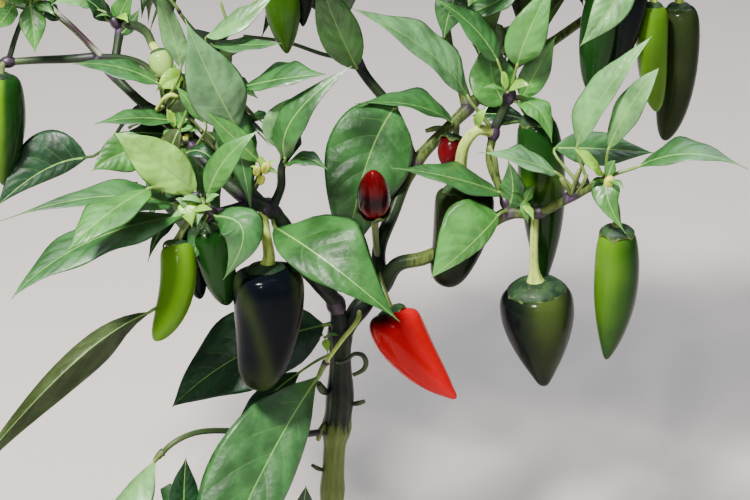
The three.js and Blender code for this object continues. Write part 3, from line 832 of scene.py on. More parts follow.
# %% Limb thickness
ROOT_FLARE, FLARE_HEIGHT = 4.2, 11.0
SWELLINGS = ((120, 0.8, 7), (160, 0.7, 7), (176, 1.7, 13))
LIMB_RADII = {
    "main_stem": (6.4, 5.2), "bough_left": (4.4, 2.6), "bough_right": (4.4, 2.0),
    "bough_upright": (3.6, 2.2), "bough_high": (3.0, 1.6), "bough_back": (3.0, 1.6),
    "branch_left_head": (2.6, 1.6), "branch_left_arm": (2.6, 2.0), "branch_left_high": (2.2, 1.6),
    "branch_centre": (2.2, 1.6), "branch_inner": (2.3, 1.9), "branch_low": (2.6, 1.6),
}
THIN_LIMB = (2.2, 1.6)
STEM_RIBS, BOUGH_RIBS = 11, 6
POINTS_PER_RIB = 4
RIB_DEPTH = 0.045
JOINT_SWELL, SWELL_SPREAD, STAIN_SPREAD = 0.22, 6 * MM, 6.8 * MM
JOINTS = np.array([route[0] for name, route in LIMB_ROUTES.items() if name != "main_stem"]
                  + [route[0] for route in TWIG_ROUTES.values()])


def hump(place, middle, spread):
    """1 at the middle and 0 well away from it."""
    return np.exp(-((place - middle) / spread) ** 2)


def limb_radius(name, route):
    """The radius at each point of a limb's route, in metres."""
    first, last = LIMB_RADII.get(name, THIN_LIMB)
    radius = first + (last - first) * np.linspace(0, 1, len(route))
    if name == "main_stem":
        height = route[:, 2] / MM
        radius = radius + ROOT_FLARE * np.exp(-height / FLARE_HEIGHT)
        for middle, extra, spread in SWELLINGS:
            radius = radius + extra * hump(height, middle, spread)
    return radius * MM


def near_joint(points, spread):
    """1 at a joint and 0 well away from every one."""
    return hump(np.linalg.norm(points[:, None, :] - JOINTS[None, :, :], axis=-1).min(axis=1), 0, spread)


# %% One limb, as a path with a ribbed cross-section
def deselect():
    if bpy.context.object and bpy.context.object.mode != "OBJECT":
        bpy.ops.object.mode_set(mode="OBJECT")
    bpy.ops.object.select_all(action="DESELECT")


def ribbed_ring(ribs):
    """A closed curve round the origin with `ribs` low ridges."""
    deselect()
    bpy.ops.curve.primitive_bezier_circle_add(radius=1.0)
    ring = bpy.context.object
    ring.data.splines[0].resolution_u = ribs * POINTS_PER_RIB // 4
    bpy.ops.object.convert(target="MESH")
    for vertex in ring.data.vertices:
        vertex.co *= 1 + RIB_DEPTH * math.cos(ribs * math.atan2(vertex.co.y, vertex.co.x))
    bpy.ops.object.convert(target="CURVE")
    return ring


def limb_mesh(name, route):
    """The limb as a mesh of its own."""
    ring = ribbed_ring(STEM_RIBS if name == "main_stem" else BOUGH_RIBS)
    deselect()
    bpy.ops.curve.primitive_nurbs_path_add()
    limb = bpy.context.object
    limb.name = name + "_bark"
    limb.data.splines.clear()
    spline = limb.data.splines.new("POLY")
    spline.points.add(len(route) - 1)
    spline.points.foreach_set("co", np.column_stack([route, np.ones(len(route))]).ravel())
    swollen = limb_radius(name, route) * (1 + JOINT_SWELL * near_joint(route, SWELL_SPREAD))
    spline.points.foreach_set("radius", swollen)
    limb.data.bevel_mode = "OBJECT"
    limb.data.bevel_object = ring
    limb.data.use_fill_caps = True
    bpy.ops.object.convert(target="MESH")
    bpy.data.objects.remove(ring)
    return limb


# %% Small tools for finished meshes
def points_of(shape):
    points = np.zeros(len(shape.data.vertices) * 3)
    shape.data.vertices.foreach_get("co", points)
    return points.reshape(-1, 3)


def move_points(shape, points):
    shape.data.vertices.foreach_set("co", points.ravel())


def mark(shape, name, numbers):
    """Keeps a number for each point of a mesh, which a paint reads as an attribute."""
    layer = shape.data.attributes.new(name, "FLOAT", "POINT")
    layer.data.foreach_set("value", numbers.astype(np.float32))


def joined(shapes, name):
    """Several objects as one smooth piece that rides with the plant."""
    deselect()
    for shape in shapes:
        shape.select_set(True)
    bpy.context.view_layer.objects.active = shapes[0]
    bpy.ops.object.join()
    piece = bpy.context.object
    piece.name = name
    bpy.ops.object.shade_smooth()
    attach(piece, "root")
    return piece


# %% All limbs
def limb_paint():
    """Ribbed green skin, purple at the joints, dark with age and with painted shade, with scars in places.
    """
    paint = Paint("limb_skin", roughness=0.42, specular_ior_level=0.2, coat_weight=0.03, coat_roughness=0.3)
    place = paint.places()
    joint, rib, age_and_shade = (paint.attribute(name) for name in ("joint", "rib", "age_and_shade"))
    patches = paint.noise(place, 60.0, detail=4.0)
    streaks = paint.noise(paint.stretched(place, (1.0, 1.0, 0.18)), 520.0, detail=3.0)
    green = paint.mixed(streaks.between(0.35, 0.65), (0.022, 0.040, 0.009), (0.088, 0.128, 0.024))
    green = paint.mixed(rib.between(0.1, 0.9) * 0.6, green, (0.135, 0.185, 0.040))
    dark = paint.mixed(patches.between(0.4, 0.6), (0.004, 0.009, 0.007), (0.015, 0.029, 0.011))
    # Darker with age and with painted shade on the upper stem and the left boughs.
    age_and_shade_mask = (age_and_shade * 1.5 + (patches - 0.5) * 0.7 + (streaks - 0.5) * 1.2).between(0.3, 0.7)
    purple = paint.mixed(streaks.between(0.4, 0.6), (0.026, 0.014, 0.034), (0.070, 0.035, 0.080))
    stained = (joint * 1.1 - patches * 0.35).between(0.3, 0.8)
    paint.set("Base Color", paint.mixed(stained, paint.mixed(age_and_shade_mask, green, dark), purple))
    scars = paint.cells(place, 260.0).between(0.55, 0.8)
    paint.bumped(streaks + rib * 0.4 + scars * 0.3, 0.5, 0.0003)
    paint.set("Roughness", 0.38 + streaks * 0.2)
    return paint.material


# Where the limb skin darkens, with age and with painted shade, and where the young right boughs stay green,
# partly painted as sunlit.
DARK_FROM, DARK_TO = 0.151, 0.181
YOUNG_AND_LIT_FROM, YOUNG_AND_LIT_TO = 0.030, 0.045
YOUNG_AND_LIT_GREEN = 0.85
THIN_RADIUS, THICK_RADIUS = 1.5, 6.5
MERGE_WITHIN = 0.01 * MM


def share_between(numbers, low, high):
    return np.clip((numbers - low) / (high - low), 0, 1)


def age_and_shade_at(points):
    """Dark on the upper stem and the left boughs, with age and with painted shade. The foot and the young
    right boughs stay green, partly as painted sunlight.
    """
    young = share_between(points[:, 0], YOUNG_AND_LIT_FROM, YOUNG_AND_LIT_TO)
    return share_between(points[:, 2], DARK_FROM, DARK_TO) * (1 - YOUNG_AND_LIT_GREEN * young)


bark = joined([limb_mesh(name, route) for name, route in LIMB_ROUTES.items()], "limbs")
bpy.ops.object.mode_set(mode="EDIT")
bpy.ops.mesh.select_all(action="SELECT")
bpy.ops.mesh.remove_doubles(threshold=MERGE_WITHIN)
bpy.ops.mesh.normals_make_consistent(inside=False)
bpy.ops.object.mode_set(mode="OBJECT")
skin = points_of(bark)
from_middle = np.array([np.linalg.norm(LIMB_SPOTS - place, axis=1).min() for place in skin])
mark(bark, "joint", near_joint(skin, STAIN_SPREAD))
mark(bark, "age_and_shade", age_and_shade_at(skin))
mark(bark, "rib", share_between(from_middle / MM, THIN_RADIUS, THICK_RADIUS))
bark.data.materials.clear()
bark.data.materials.append(limb_paint())
move_points(bark, np.maximum(skin, [-1, -1, 0]))
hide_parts(*LIMBS)
print("bark:", len(skin), "points")

# %% [markdown]
# ## Six fruit shapes
#
# The chillies are blunt, blocky, slim, heart-shaped, horn-shaped or egg-shaped. Each shape is modelled
# once, from a circle that is extruded and narrowed ring by ring from the shoulder to the tip. A few
# shallow lobes are pressed in, and a subdivision modifier rounds it off. A pod is 1 long and has
# a radius of 1 here. A row holds the number of lobes, their depth, and the rings as depth and radius.

# %% Pods from rings
POD_SIDES = 20
POINTED_SHOULDER = [(0.0, 0.42), (0.02, 0.70), (0.07, 0.92), (0.16, 1.0), (0.32, 0.98)]
SAME_HEIGHT = 1e-5
LOBES_FADE = 0.4
FRUIT_SHAPES = {
    "blunt": (3, 0.06, [(0.0, 0.50), (0.02, 0.78), (0.08, 0.96), (0.20, 1.0), (0.38, 0.99), (0.56, 0.93),
        (0.72, 0.82), (0.85, 0.64), (0.94, 0.42), (0.985, 0.20)]),
    "block": (4, 0.08, [(0.0, 0.55), (0.015, 0.80), (0.05, 0.95), (0.14, 1.0), (0.30, 0.98), (0.48, 0.91),
        (0.66, 0.79), (0.82, 0.68), (0.92, 0.54), (0.98, 0.32)]),
    "slim": (2, 0.04, [(0.0, 0.50), (0.02, 0.74), (0.08, 0.88), (0.20, 0.97), (0.36, 1.0), (0.52, 0.93),
        (0.68, 0.76), (0.82, 0.52), (0.93, 0.28), (0.985, 0.12)]),
    "heart": (3, 0.06, POINTED_SHOULDER + [(0.50, 0.84), (0.68, 0.62), (0.82, 0.40), (0.92, 0.24),
        (0.98, 0.15)]),
    "horn": (3, 0.05, POINTED_SHOULDER + [(0.50, 0.88), (0.68, 0.70), (0.82, 0.49), (0.90, 0.31),
        (0.94, 0.20), (0.975, 0.15)]),
    "egg": (3, 0.03, [(0.0, 0.45), (0.02, 0.70), (0.08, 0.90), (0.22, 1.0), (0.42, 1.0), (0.60, 0.90),
        (0.76, 0.72), (0.88, 0.50), (0.96, 0.28), (0.99, 0.12)]),
}


def select_level(shape, height):
    """Selects the points at one height, and the edges between them, and stays in edit mode."""
    bpy.ops.mesh.select_all(action="DESELECT")
    bpy.ops.object.mode_set(mode="OBJECT")
    chosen = np.abs(points_of(shape)[:, 2] - height) < SAME_HEIGHT
    shape.data.vertices.foreach_set("select", chosen)
    for edge in shape.data.edges:
        edge.select = all(chosen[corner] for corner in edge.vertices)
    bpy.ops.object.mode_set(mode="EDIT")


def ringed(name, sides, rings):
    """A closed shape drawn down from a circle, ring by ring, to a point at z = -1."""
    deselect()
    bpy.ops.mesh.primitive_circle_add(vertices=sides, radius=rings[0][1], location=(0, 0, 0))
    shape = bpy.context.object
    shape.name = name
    bpy.ops.object.mode_set(mode="EDIT")
    bpy.ops.mesh.select_all(action="SELECT")
    bpy.ops.mesh.edge_face_add()
    for (start, wide), (end, next_wide) in zip(rings, rings[1:]):
        select_level(shape, -start)
        bpy.ops.mesh.select_mode(type="EDGE")
        bpy.ops.mesh.extrude_edges_move(TRANSFORM_OT_translate={"value": (0, 0, start - end)})
        ratio = next_wide / wide
        bpy.ops.transform.resize(value=(ratio, ratio, 1), center_override=(0, 0, -end))
    bpy.ops.mesh.select_mode(type="VERT")
    bpy.ops.mesh.extrude_edges_move(TRANSFORM_OT_translate={"value": (0, 0, rings[-1][0] - 1)})
    bpy.ops.mesh.merge(type="CENTER")
    bpy.ops.mesh.select_all(action="SELECT")
    bpy.ops.mesh.normals_make_consistent(inside=False)
    bpy.ops.object.mode_set(mode="OBJECT")
    return shape


def with_modifier(shape, kind, **settings):
    """Adds a modifier and applies it."""
    deselect()
    shape.select_set(True)
    bpy.context.view_layer.objects.active = shape
    modifier = shape.modifiers.new(kind.lower(), kind)
    for name, setting in settings.items():
        setattr(modifier, name, setting)
    bpy.ops.object.modifier_apply(modifier=modifier.name)
    print(shape.name, len(shape.data.polygons), "faces")
    return shape


def waves_round(points, count):
    """`count` waves between 0 and 1 on the way round the upright axis."""
    return 0.5 + 0.5 * np.cos(count * np.arctan2(points[:, 1], points[:, 0]))


def fruit_kind(kind, lobes, depth, rings):
    """One pod, lobed and smooth, from z = 0 down to z = -1."""
    shape = ringed(f"{kind}_pod", POD_SIDES, rings)
    points = points_of(shape)
    low = np.clip(-points[:, 2], 0, 1)
    points[:, :2] *= (1 - depth * waves_round(points, lobes) * (1 - LOBES_FADE * low))[:, None]
    move_points(shape, points)
    return with_modifier(shape, "SUBSURF", levels=1, render_levels=1)


POD_SHAPES = {kind: fruit_kind(kind, *row) for kind, row in FRUIT_SHAPES.items()}

# %% [markdown]
# ## The calyx, a green cap with five teeth
#
# A fruit hangs in the cap that held its flower. The cap is a shallow bowl upside down, drawn like a pod
# and opened at the bottom, whose rim is pulled out into five teeth. A Solidify modifier gives it a wall.

# %% One calyx
CALYX_TEETH, POINTS_PER_TOOTH = 5, 6
CALYX_RINGS = ((0.0, 0.28), (0.01, 0.55), (0.05, 0.82), (0.12, 0.98), (0.2, 1.04))
CALYX_WALL = 0.06
TOOTH_LONG, BETWEEN_TEETH, TOOTH_SHARPNESS = 0.16, 0.03, 2.5
RIM_FROM, RIM_TO, RIM_FLARE = 0.11, 0.20, 0.03
CAP_WIDER, CAP_HIGHER = 1.03, 0.02


def calyx_kind():
    """A cap that lies over the pod's shoulder, a little wider than the pod."""
    cap = ringed("calyx", CALYX_TEETH * POINTS_PER_TOOTH, CALYX_RINGS)
    bpy.ops.object.mode_set(mode="EDIT")
    select_level(cap, -1)
    bpy.ops.mesh.delete(type="VERT")
    bpy.ops.object.mode_set(mode="OBJECT")
    points = points_of(cap)
    rim = share_between(-points[:, 2], RIM_FROM, RIM_TO)
    tooth = waves_round(points, CALYX_TEETH) ** TOOTH_SHARPNESS
    points[:, 2] += CAP_HIGHER - rim * (tooth * TOOTH_LONG - BETWEEN_TEETH)
    points[:, :2] *= CAP_WIDER * (1 + RIM_FLARE * rim)[:, None]
    move_points(cap, points)
    return with_modifier(cap, "SOLIDIFY", thickness=CALYX_WALL, offset=1.0)


CALYX = calyx_kind()

# %% [markdown]
# ## Where the chillies hang
#
# Each pod of the photograph is a row: where its shoulder and its tip show, each with its depth, its width
# in millimetres, its shape, its colours and the stalk that it hangs on. `ripe` is how far its colour has
# gone from the first of its paint to the second, and `cap` is the calyx's width as a share of the pod's.

# %% The pods of the photograph
@dataclass
class Pod:
    """One fruit. `stalk` runs from the limb to the shoulder. Every spot is a pixel with a depth."""
    top: tuple
    tip: tuple
    wide: float
    kind: str
    paint: str
    stalk: tuple
    through: tuple = None
    ripe: float = 0.0
    tint: str = "even"
    cap: float = 0.62
    stalk_wide: float = 3.0
    stalk_paint: str = "fruit_stalk"

    def axis(self):
        """Shoulder, middle and tip, in metres."""
        top, tip = spot(*self.top), spot(*self.tip)
        if self.through is None:
            return top, (top + tip) / 2, tip
        return top, spot(*self.through, (self.top[2] + self.tip[2]) / 2), tip


PODS = {
    "large_black": Pod((267, 268, -44), (254, 389, -52), 37, "block", "dark",
        ((264, 202, -31), (265, 230, -38), (269, 256, -43)), ripe=0.05, cap=0.5, stalk_wide=5.2,
        stalk_paint="pale_stalk", tint="painted_reflection_streak", through=(267, 328)),
    "left_dark_green": Pod((205, 226, -44), (228, 305, -42), 19, "blunt", "green",
        ((203, 206, -46), (203, 216, -45))),
    "left_dark_slim": Pod((189, 232, -40), (200, 299, -38), 13, "blunt", "dark",
        ((196, 206, -44), (190, 220, -42)), stalk_wide=2.0),
    "left_bright": Pod((176, 243, -50), (154, 341, -70), 18, "blunt", "green",
        ((190, 214, -46), (184, 228, -50)), through=(176, 294), ripe=0.7),
    "red": Pod((390, 311, -4), (457, 399, -18), 29, "horn", "red",
        ((376, 268, 8), (381, 281, 4), (386, 297, -2)), ripe=1.0, tint="dark_shoulder", through=(412, 353),
        cap=0.5),
    "upright_maroon": Pod((374, 212, 6), (373, 171, -4), 17, "egg", "red",
        ((380, 262, 14), (376, 244, 12), (375, 226, 8)), ripe=0.45, tint="banded", cap=0.9, stalk_wide=3.6),
    "inner_olive": Pod((465, 189, 9), (441, 285, 4), 32, "block", "dark",
        ((489, 132, 9), (478, 130, 6), (465, 144, 6), (461, 176, 9)), ripe=0.2, tint="red_tip",
        stalk_wide=6.0, stalk_paint="pale_stalk", through=(459, 238)),
    "inner_red": Pod((455, 139, 34), (446, 168, 26), 15, "egg", "red", ((458, 118, 56), (457, 128, 44)),
        ripe=0.24, cap=0.95),
    "inner_long": Pod((536, 118, 12), (542, 286, 10), 25, "slim", "green", ((512, 96, 12), (526, 100, 12)),
        ripe=0.1, through=(543, 200), tint="lit_middle"),
    "right_heart": Pod((536, 286, -10), (544, 386, -12), 39.5, "heart", "dark",
        ((535, 215, -10), (534, 240, -10), (534, 266, -10)), ripe=0.2, cap=0.68, stalk_wide=4.4,
        stalk_paint="pale_stalk", tint="olive_front"),
    "right_green": Pod((617, 230, -22), (606, 360, -24), 23, "slim", "green",
        ((608, 184, -18), (616, 204, -20)), ripe=0.5, cap=0.66, tint="lit_left", through=(615, 297)),
    "far_light": Pod((653, 5, 76), (657, 112, 74), 17.5, "blunt", "green", ((650, -40, 86), (653, -14, 80)),
        ripe=0.55, through=(652, 58), cap=0.5, stalk_paint="pale_stalk"),
    "far_dark": Pod((679, 6, 90), (664, 141, 88), 23, "blunt", "dark", ((676, -44, 96), (678, -18, 94)),
        ripe=0.4, through=(677, 74), cap=0.5, stalk_paint="pale_stalk"),
    "far_behind": Pod((604, -8, 66), (590, 93, 64), 20, "egg", "green", ((592, -30, 96), (600, -18, 80))),
    "far_behind_two": Pod((634, -20, 70), (612, 74, 68), 20, "egg", "dark",
        ((600, -34, 100), (624, -36, 84)), ripe=0.15),
    "left_edge": Pod((0, 76, 4), (4, 186, 2), 25, "slim", "green", ((8, 62, 8), (3, 64, 6)), ripe=0.2,
        stalk_wide=3.4, tint="lit_far_left", cap=0.4),
    "behind_thin_stem": Pod((280, -22, 20), (287, 54, 18), 18, "slim", "green",
        ((290, -60, 30), (283, -40, 24)), ripe=0.3),
    "behind_thin_stem_dark": Pod((303, -44, 26), (303, 27, 24), 13, "slim", "dark",
        ((310, -70, 36), (305, -58, 30)), ripe=0.2),
    "young_pale": Pod((158, 52, 0), (167, 80, -6), 12, "egg", "pale", ((153, 42, 4), (155, 48, 2)),
        ripe=0.8, cap=0.6, stalk_wide=4.4, stalk_paint="pale_stalk"),
}
lengths = [round(np.linalg.norm(pod.axis()[2] - pod.axis()[0]) / MM) for pod in PODS.values()]
print("pods:", len(PODS), "from", min(lengths), "to", max(lengths), "mm long")

# %% Pod skins
POD_COLOURS = {
    "dark": ((0.002, 0.003, 0.005), (0.038, 0.062, 0.012)),
    "green": ((0.006, 0.034, 0.005), (0.105, 0.255, 0.006)),
    "red": ((0.014, 0.003, 0.005), (0.480, 0.001, 0.005)),
    "pale": ((0.100, 0.240, 0.040), (0.280, 0.460, 0.100)),
}
POD_SHINE, DARK_POD_SHINE = 0.15, 0.07


def pod_paint(name, unripe, ripe):
    """Taut waxy skin. The pod's own `ripe` number moves it from the first colour to the second, and on some
    pods it also paints light, shade or a reflection.
    """
    shine = DARK_POD_SHINE if name == "dark" else POD_SHINE
    paint = Paint(f"pod_{name}", roughness=0.22, coat_weight=shine, coat_roughness=0.05,
                  specular_ior_level=shine / 2)
    place = paint.places()
    patches = paint.noise(place, 55.0, detail=3.0)
    streaks = paint.noise(paint.stretched(place, (1.0, 1.0, 0.25)), 220.0)
    amount = paint.attribute("ripe") + (patches - 0.5) * 0.22 + (streaks - 0.5) * 0.12
    paint.set("Base Color", paint.mixed(amount.between(0.0, 1.0), unripe, ripe))
    paint.bumped(paint.noise(place, 170.0) + streaks * 0.5, 0.22, 0.0006)
    paint.set("Roughness", 0.16 + patches * 0.12)
    return paint.material


def calyx_paint():
    """A matt warty cap, dark green, with a yellow-green rim."""
    paint = Paint("calyx_skin", roughness=0.6, coat_weight=0.03, specular_ior_level=0.25)
    place = paint.places()
    warts = paint.noise(place, 420.0, detail=3.0)
    patches = paint.noise(place, 120.0)
    colour = paint.mixed(patches.between(0.35, 0.65), (0.006, 0.022, 0.010), (0.022, 0.056, 0.018))
    warty = paint.mixed(warts.between(0.5, 0.7) * 0.3, colour, (0.090, 0.130, 0.045))
    rim = paint.attribute("rim").between(0.3, 1.0)
    paint.set("Base Color", paint.mixed(rim * 0.8, warty, (0.150, 0.210, 0.045)))
    paint.bumped(warts, 0.6, 0.0005)
    return paint.material


POD_SKINS = {name: pod_paint(name, *colours) for name, colours in POD_COLOURS.items()}
CALYX_SKIN = calyx_paint()

# %% [markdown]
# ## Hanging the chillies
#
# Each pod is a copy of its shape with a mesh of its own. Its points are carried onto the pod's axis,
# a curve through shoulder, middle and tip, so a pod can be bent. The same sums carry the calyx. Each
# point keeps a number that says how ripe it is, even or in the pattern that this pod shows; on some pods
# the pattern is painted light and shade, and on one a painted reflection.

# %% Bend a copy onto an axis
def bent_onto(shape, name, axis, radius, turn):
    """A copy of a unit shape, laid along an axis, and its points' places across the shape."""
    copy = shape.copy()
    copy.data = shape.data.copy()
    copy.name = name
    bpy.context.scene.collection.objects.link(copy)
    local = points_of(shape)
    centre, ahead = bowed(*axis, np.clip(-local[:, 2], -0.2, 1.0)[:, None])
    side = unit(np.cross(ahead, facing(0.12, 0.1, 1)))
    cos, sin = math.cos(turn), math.sin(turn)
    across, deep = local[:, 0] * cos - local[:, 1] * sin, local[:, 0] * sin + local[:, 1] * cos
    move_points(copy, centre + radius * (across[:, None] * side + deep[:, None] * np.cross(ahead, side)))
    return copy, -local[:, 2], across


def part_of(number):
    return np.clip(number, 0, 1)


# Each pattern goes by how low a point is, how far across it lies, and how ripe the pod is. The lit
# patterns are painted light and shade, a sunlit side or band and a shaded rest. The streak on the large
# black pod is a painted reflection, and that pattern is also greener towards the tip and olive on one lobe.
TINTS = {
    "even": lambda low, across, ripe: ripe,
    "dark_shoulder": lambda low, across, ripe: 1 - 1.1 * part_of(1 - low / 0.22) * part_of(0.6 + across),
    "banded": lambda low, across, ripe: 0.3 - 0.34 * hump(low, 0.45, 0.14),
    "red_tip": lambda low, across, ripe: ripe * (1 - low) + 0.2,
    "lit_middle": lambda low, across, ripe: 0.02 + 0.38 * hump(low, 0.36, 0.08),
    "lit_left": lambda low, across, ripe: 0.1 + 0.55 * part_of(0.5 + across) * (1 - 0.9 * low),
    "lit_far_left": lambda low, across, ripe: 0.02 + 3 * part_of(0.32 + across) * (1 - 0.7 * low),
    "olive_front": lambda low, across, ripe: 0.05 + 0.75 * hump(across, -0.08, 0.55) * part_of(1.2 - low),
    "painted_reflection_streak": lambda low, across, ripe: 0.34 * hump(across + 1.45 * low, 0.94, 0.26)
        + 0.4 * part_of((low - 0.7) / 0.3) + 0.5 * part_of((-across - 0.45) / 0.3) * part_of(1 - 1.4 * low),
}


TURN_PER_LETTER = 0.7
SEAT = 0.8 * MM
YELLOW_FROM, YELLOW_TO = 0.09, 0.14
NECK_SHARE, NECK_INSIDE = 0.52, 0.6 * MM
ROUTE_STEP = 2.5 * MM


def grown_pod(name, pod):
    """A pod and its calyx on the plant."""
    turn = TURN_PER_LETTER * len(name)
    fruit, low, across = bent_onto(POD_SHAPES[pod.kind], name, pod.axis(), pod.wide / 2 * MM, turn)
    # The number is ripeness, and on some pods painted light and shade or a painted reflection.
    mark(fruit, "ripe", part_of(TINTS[pod.tint](low, across, pod.ripe) + np.zeros(len(low))))
    fruit.data.materials.append(POD_SKINS[pod.paint])
    radius = pod.wide / 2 * pod.cap * MM
    top, middle, _ = pod.axis()
    ahead = unit(middle - top)
    cap_axis = (top - ahead * SEAT, top + ahead * radius * 0.9, top + ahead * radius * 1.8)
    cap, low, _ = bent_onto(CALYX, name + "_calyx", cap_axis, radius, turn)
    mark(cap, "rim", share_between(low, YELLOW_FROM, YELLOW_TO))
    cap.data.materials.append(CALYX_SKIN)
    return fruit, cap


def add_pod_stalk(pile, pod):
    """The stalk, thin at the limb and wide at the calyx."""
    top, middle, _ = pod.axis()
    places = [on_limb(spot(*pod.stalk[0]))] + [spot(*place) for place in pod.stalk[1:]]
    route = smooth_route(places + [top + unit(middle - top) * NECK_INSIDE], ROUTE_STEP)
    share = np.linspace(0, 1, len(route))
    thin, neck = pod.stalk_wide / 2, pod.wide / 2 * pod.cap * NECK_SHARE
    radii = MM * (thin * (0.85 + 0.25 * share) + (neck - thin) * share**9)
    pile.add_tube(route, radii, pod.stalk_paint, 10)


grown = {name: grown_pod(name, pod) for name, pod in PODS.items()}
for paint in POD_SKINS:
    joined([grown[name][0] for name in PODS if PODS[name].paint == paint], f"{paint}_pods")
joined([cap for _, cap in grown.values()], "calyxes")
for pod in PODS.values():
    add_pod_stalk(stalks, pod)

# %% [markdown]
# ## The rest of the crown
#
# The solid model holds each mass of foliage as a lump with leafy points. Here every lump is replaced by
# what it stands for. From the nearest limb a twig grows towards each of the lump's points, with a leaf
# at every joint, turned by the golden angle, and a last leaf that ends at the point itself.
#
# From the photograph's side only the placed leaves may show, with the sky between them left open. So a
# grown leaf is kept only where placed leaves hide it, or where the photograph is a thicket of shade.

# %% What may grow where
CELL = 5
CELLS_ACROSS, CELLS_DOWN = 150, 100
BEHIND = 5 * MM
THICKETS = {
    "left_head": (130, 96, 262, 240),
    "left_arm": (120, 0, 176, 60),
    "behind_heart": (384, 108, 415, 190),
    "top_right": (598, -20, 650, 30),
    "top_left": (-20, -20, 60, 12),
}
HIDDEN_SHARE, TWIG_HIDDEN_SHARE = 0.95, 0.85
ROOM = 9 * MM
LOWEST = 40 * MM
box_low, box_high = (np.array(corner) for corner in solid_box)
nearest_shown = np.full((CELLS_DOWN, CELLS_ACROSS), np.inf)


def frame_cells(points):
    """Each point's cell in the photograph, and whether it is inside the photograph."""
    cell = np.floor(pixels(points) / CELL).astype(int)
    inside = (cell >= 0).all(axis=1) & (cell[:, 0] < CELLS_ACROSS) & (cell[:, 1] < CELLS_DOWN)
    return np.clip(cell, 0, [CELLS_ACROSS - 1, CELLS_DOWN - 1]), inside


def mark_shown(points):
    cell, inside = frame_cells(points)
    np.minimum.at(nearest_shown, (cell[inside, 1], cell[inside, 0]), ((points - EYE) @ LOOK)[inside])


for leaf in SHOWN_LEAVES.values():
    mark_shown(blade_grid(leaf, np.linspace(0, 1, 60), np.linspace(-1, 1, 30))[0].reshape(-1, 3))
for paint in POD_SKINS:
    mark_shown(points_of(bpy.data.objects[f"{paint}_pods"]))


def may_show(points, share=HIDDEN_SHARE, thickets=tuple(THICKETS.values())):
    """Whether nearly all of the points are hidden from the camera, outside its view or in a thicket."""
    points = np.asarray(points).reshape(-1, 3)
    if (points < box_low - ROOM).any() or (points > box_high + ROOM).any() or (points[:, 2] < LOWEST).any():
        return False
    cell, inside = frame_cells(points)
    front = nearest_shown[cell[:, 1], cell[:, 0]]
    hidden = (points - EYE) @ LOOK > front + BEHIND
    across, down = pixels(points).T
    for left, top, right, low in thickets:
        in_thicket = (across > left) & (across < right) & (down > top) & (down < low)
        hidden |= in_thicket & np.isinf(front)
    return bool((hidden | ~inside).mean() >= share)


# %% Twigs and leaves by a seeded rule
GOLDEN_TURN = math.radians(137.5)
POINTS_APART = math.radians(27)
POINTS_PER_MASS = 12
TWIG_SHARE, TWIG_STEPS = 0.5, 14
BARE_SHARE, LEAFY_SHARE = 0.3, 0.8
LEAF_GAP = 14 * MM
GROWN_LONG, SHORTEST_LAST, STALK_LONG = (44, 72), 30, (10, 20)
GROWN_WIDE = (0.44, 0.56)
GROWN_SHAPE = {"fold": (8, 26), "droop": (10, 40), "twist": (-30, 30), "wave": (0.04, 0.13),
               "widest": (0.36, 0.44)}
FACE_STRAYS = 0.35
GROWN_TWIG_RADII = (1.7 * MM, 0.9 * MM)
GROWN_STALK_RADII = np.array([1.1, 0.85, 0.75, 0.7, 0.5]) * MM
SPRAY_TONES = ("mid", "mid", "mid", "light", "light", "dark", "olive")


def leafy_points(node):
    """The middle of a lump and its furthest points, well apart from each other."""
    points = points_of(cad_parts[node])
    middle = (points.min(axis=0) + points.max(axis=0)) / 2
    arms = points - middle
    chosen = []
    for index in np.argsort(-np.linalg.norm(arms, axis=1)):
        way = unit(arms[index])
        if all(way @ unit(arms[other]) < math.cos(POINTS_APART) for other in chosen):
            chosen.append(index)
        if len(chosen) == POINTS_PER_MASS:
            break
    return middle, points[chosen]


def grown_leaf(base, way, long, face, dice, tone):
    """A leaf with a slight arch that droops at its tip."""
    arch = long * dice.uniform(0.05, 0.12)
    sag = long * dice.uniform(0.05, 0.25)
    face = face + np.array([dice.uniform(-FACE_STRAYS, FACE_STRAYS) for _ in range(3)])
    wide = long / MM * dice.uniform(*GROWN_WIDE)
    shape = {word: dice.uniform(*limits) for word, limits in GROWN_SHAPE.items()}
    return Leaf(base, base + way * long * 0.5 + SKY * arch, base + way * long - SKY * sag, wide, unit(face),
                tone=tone, **shape)


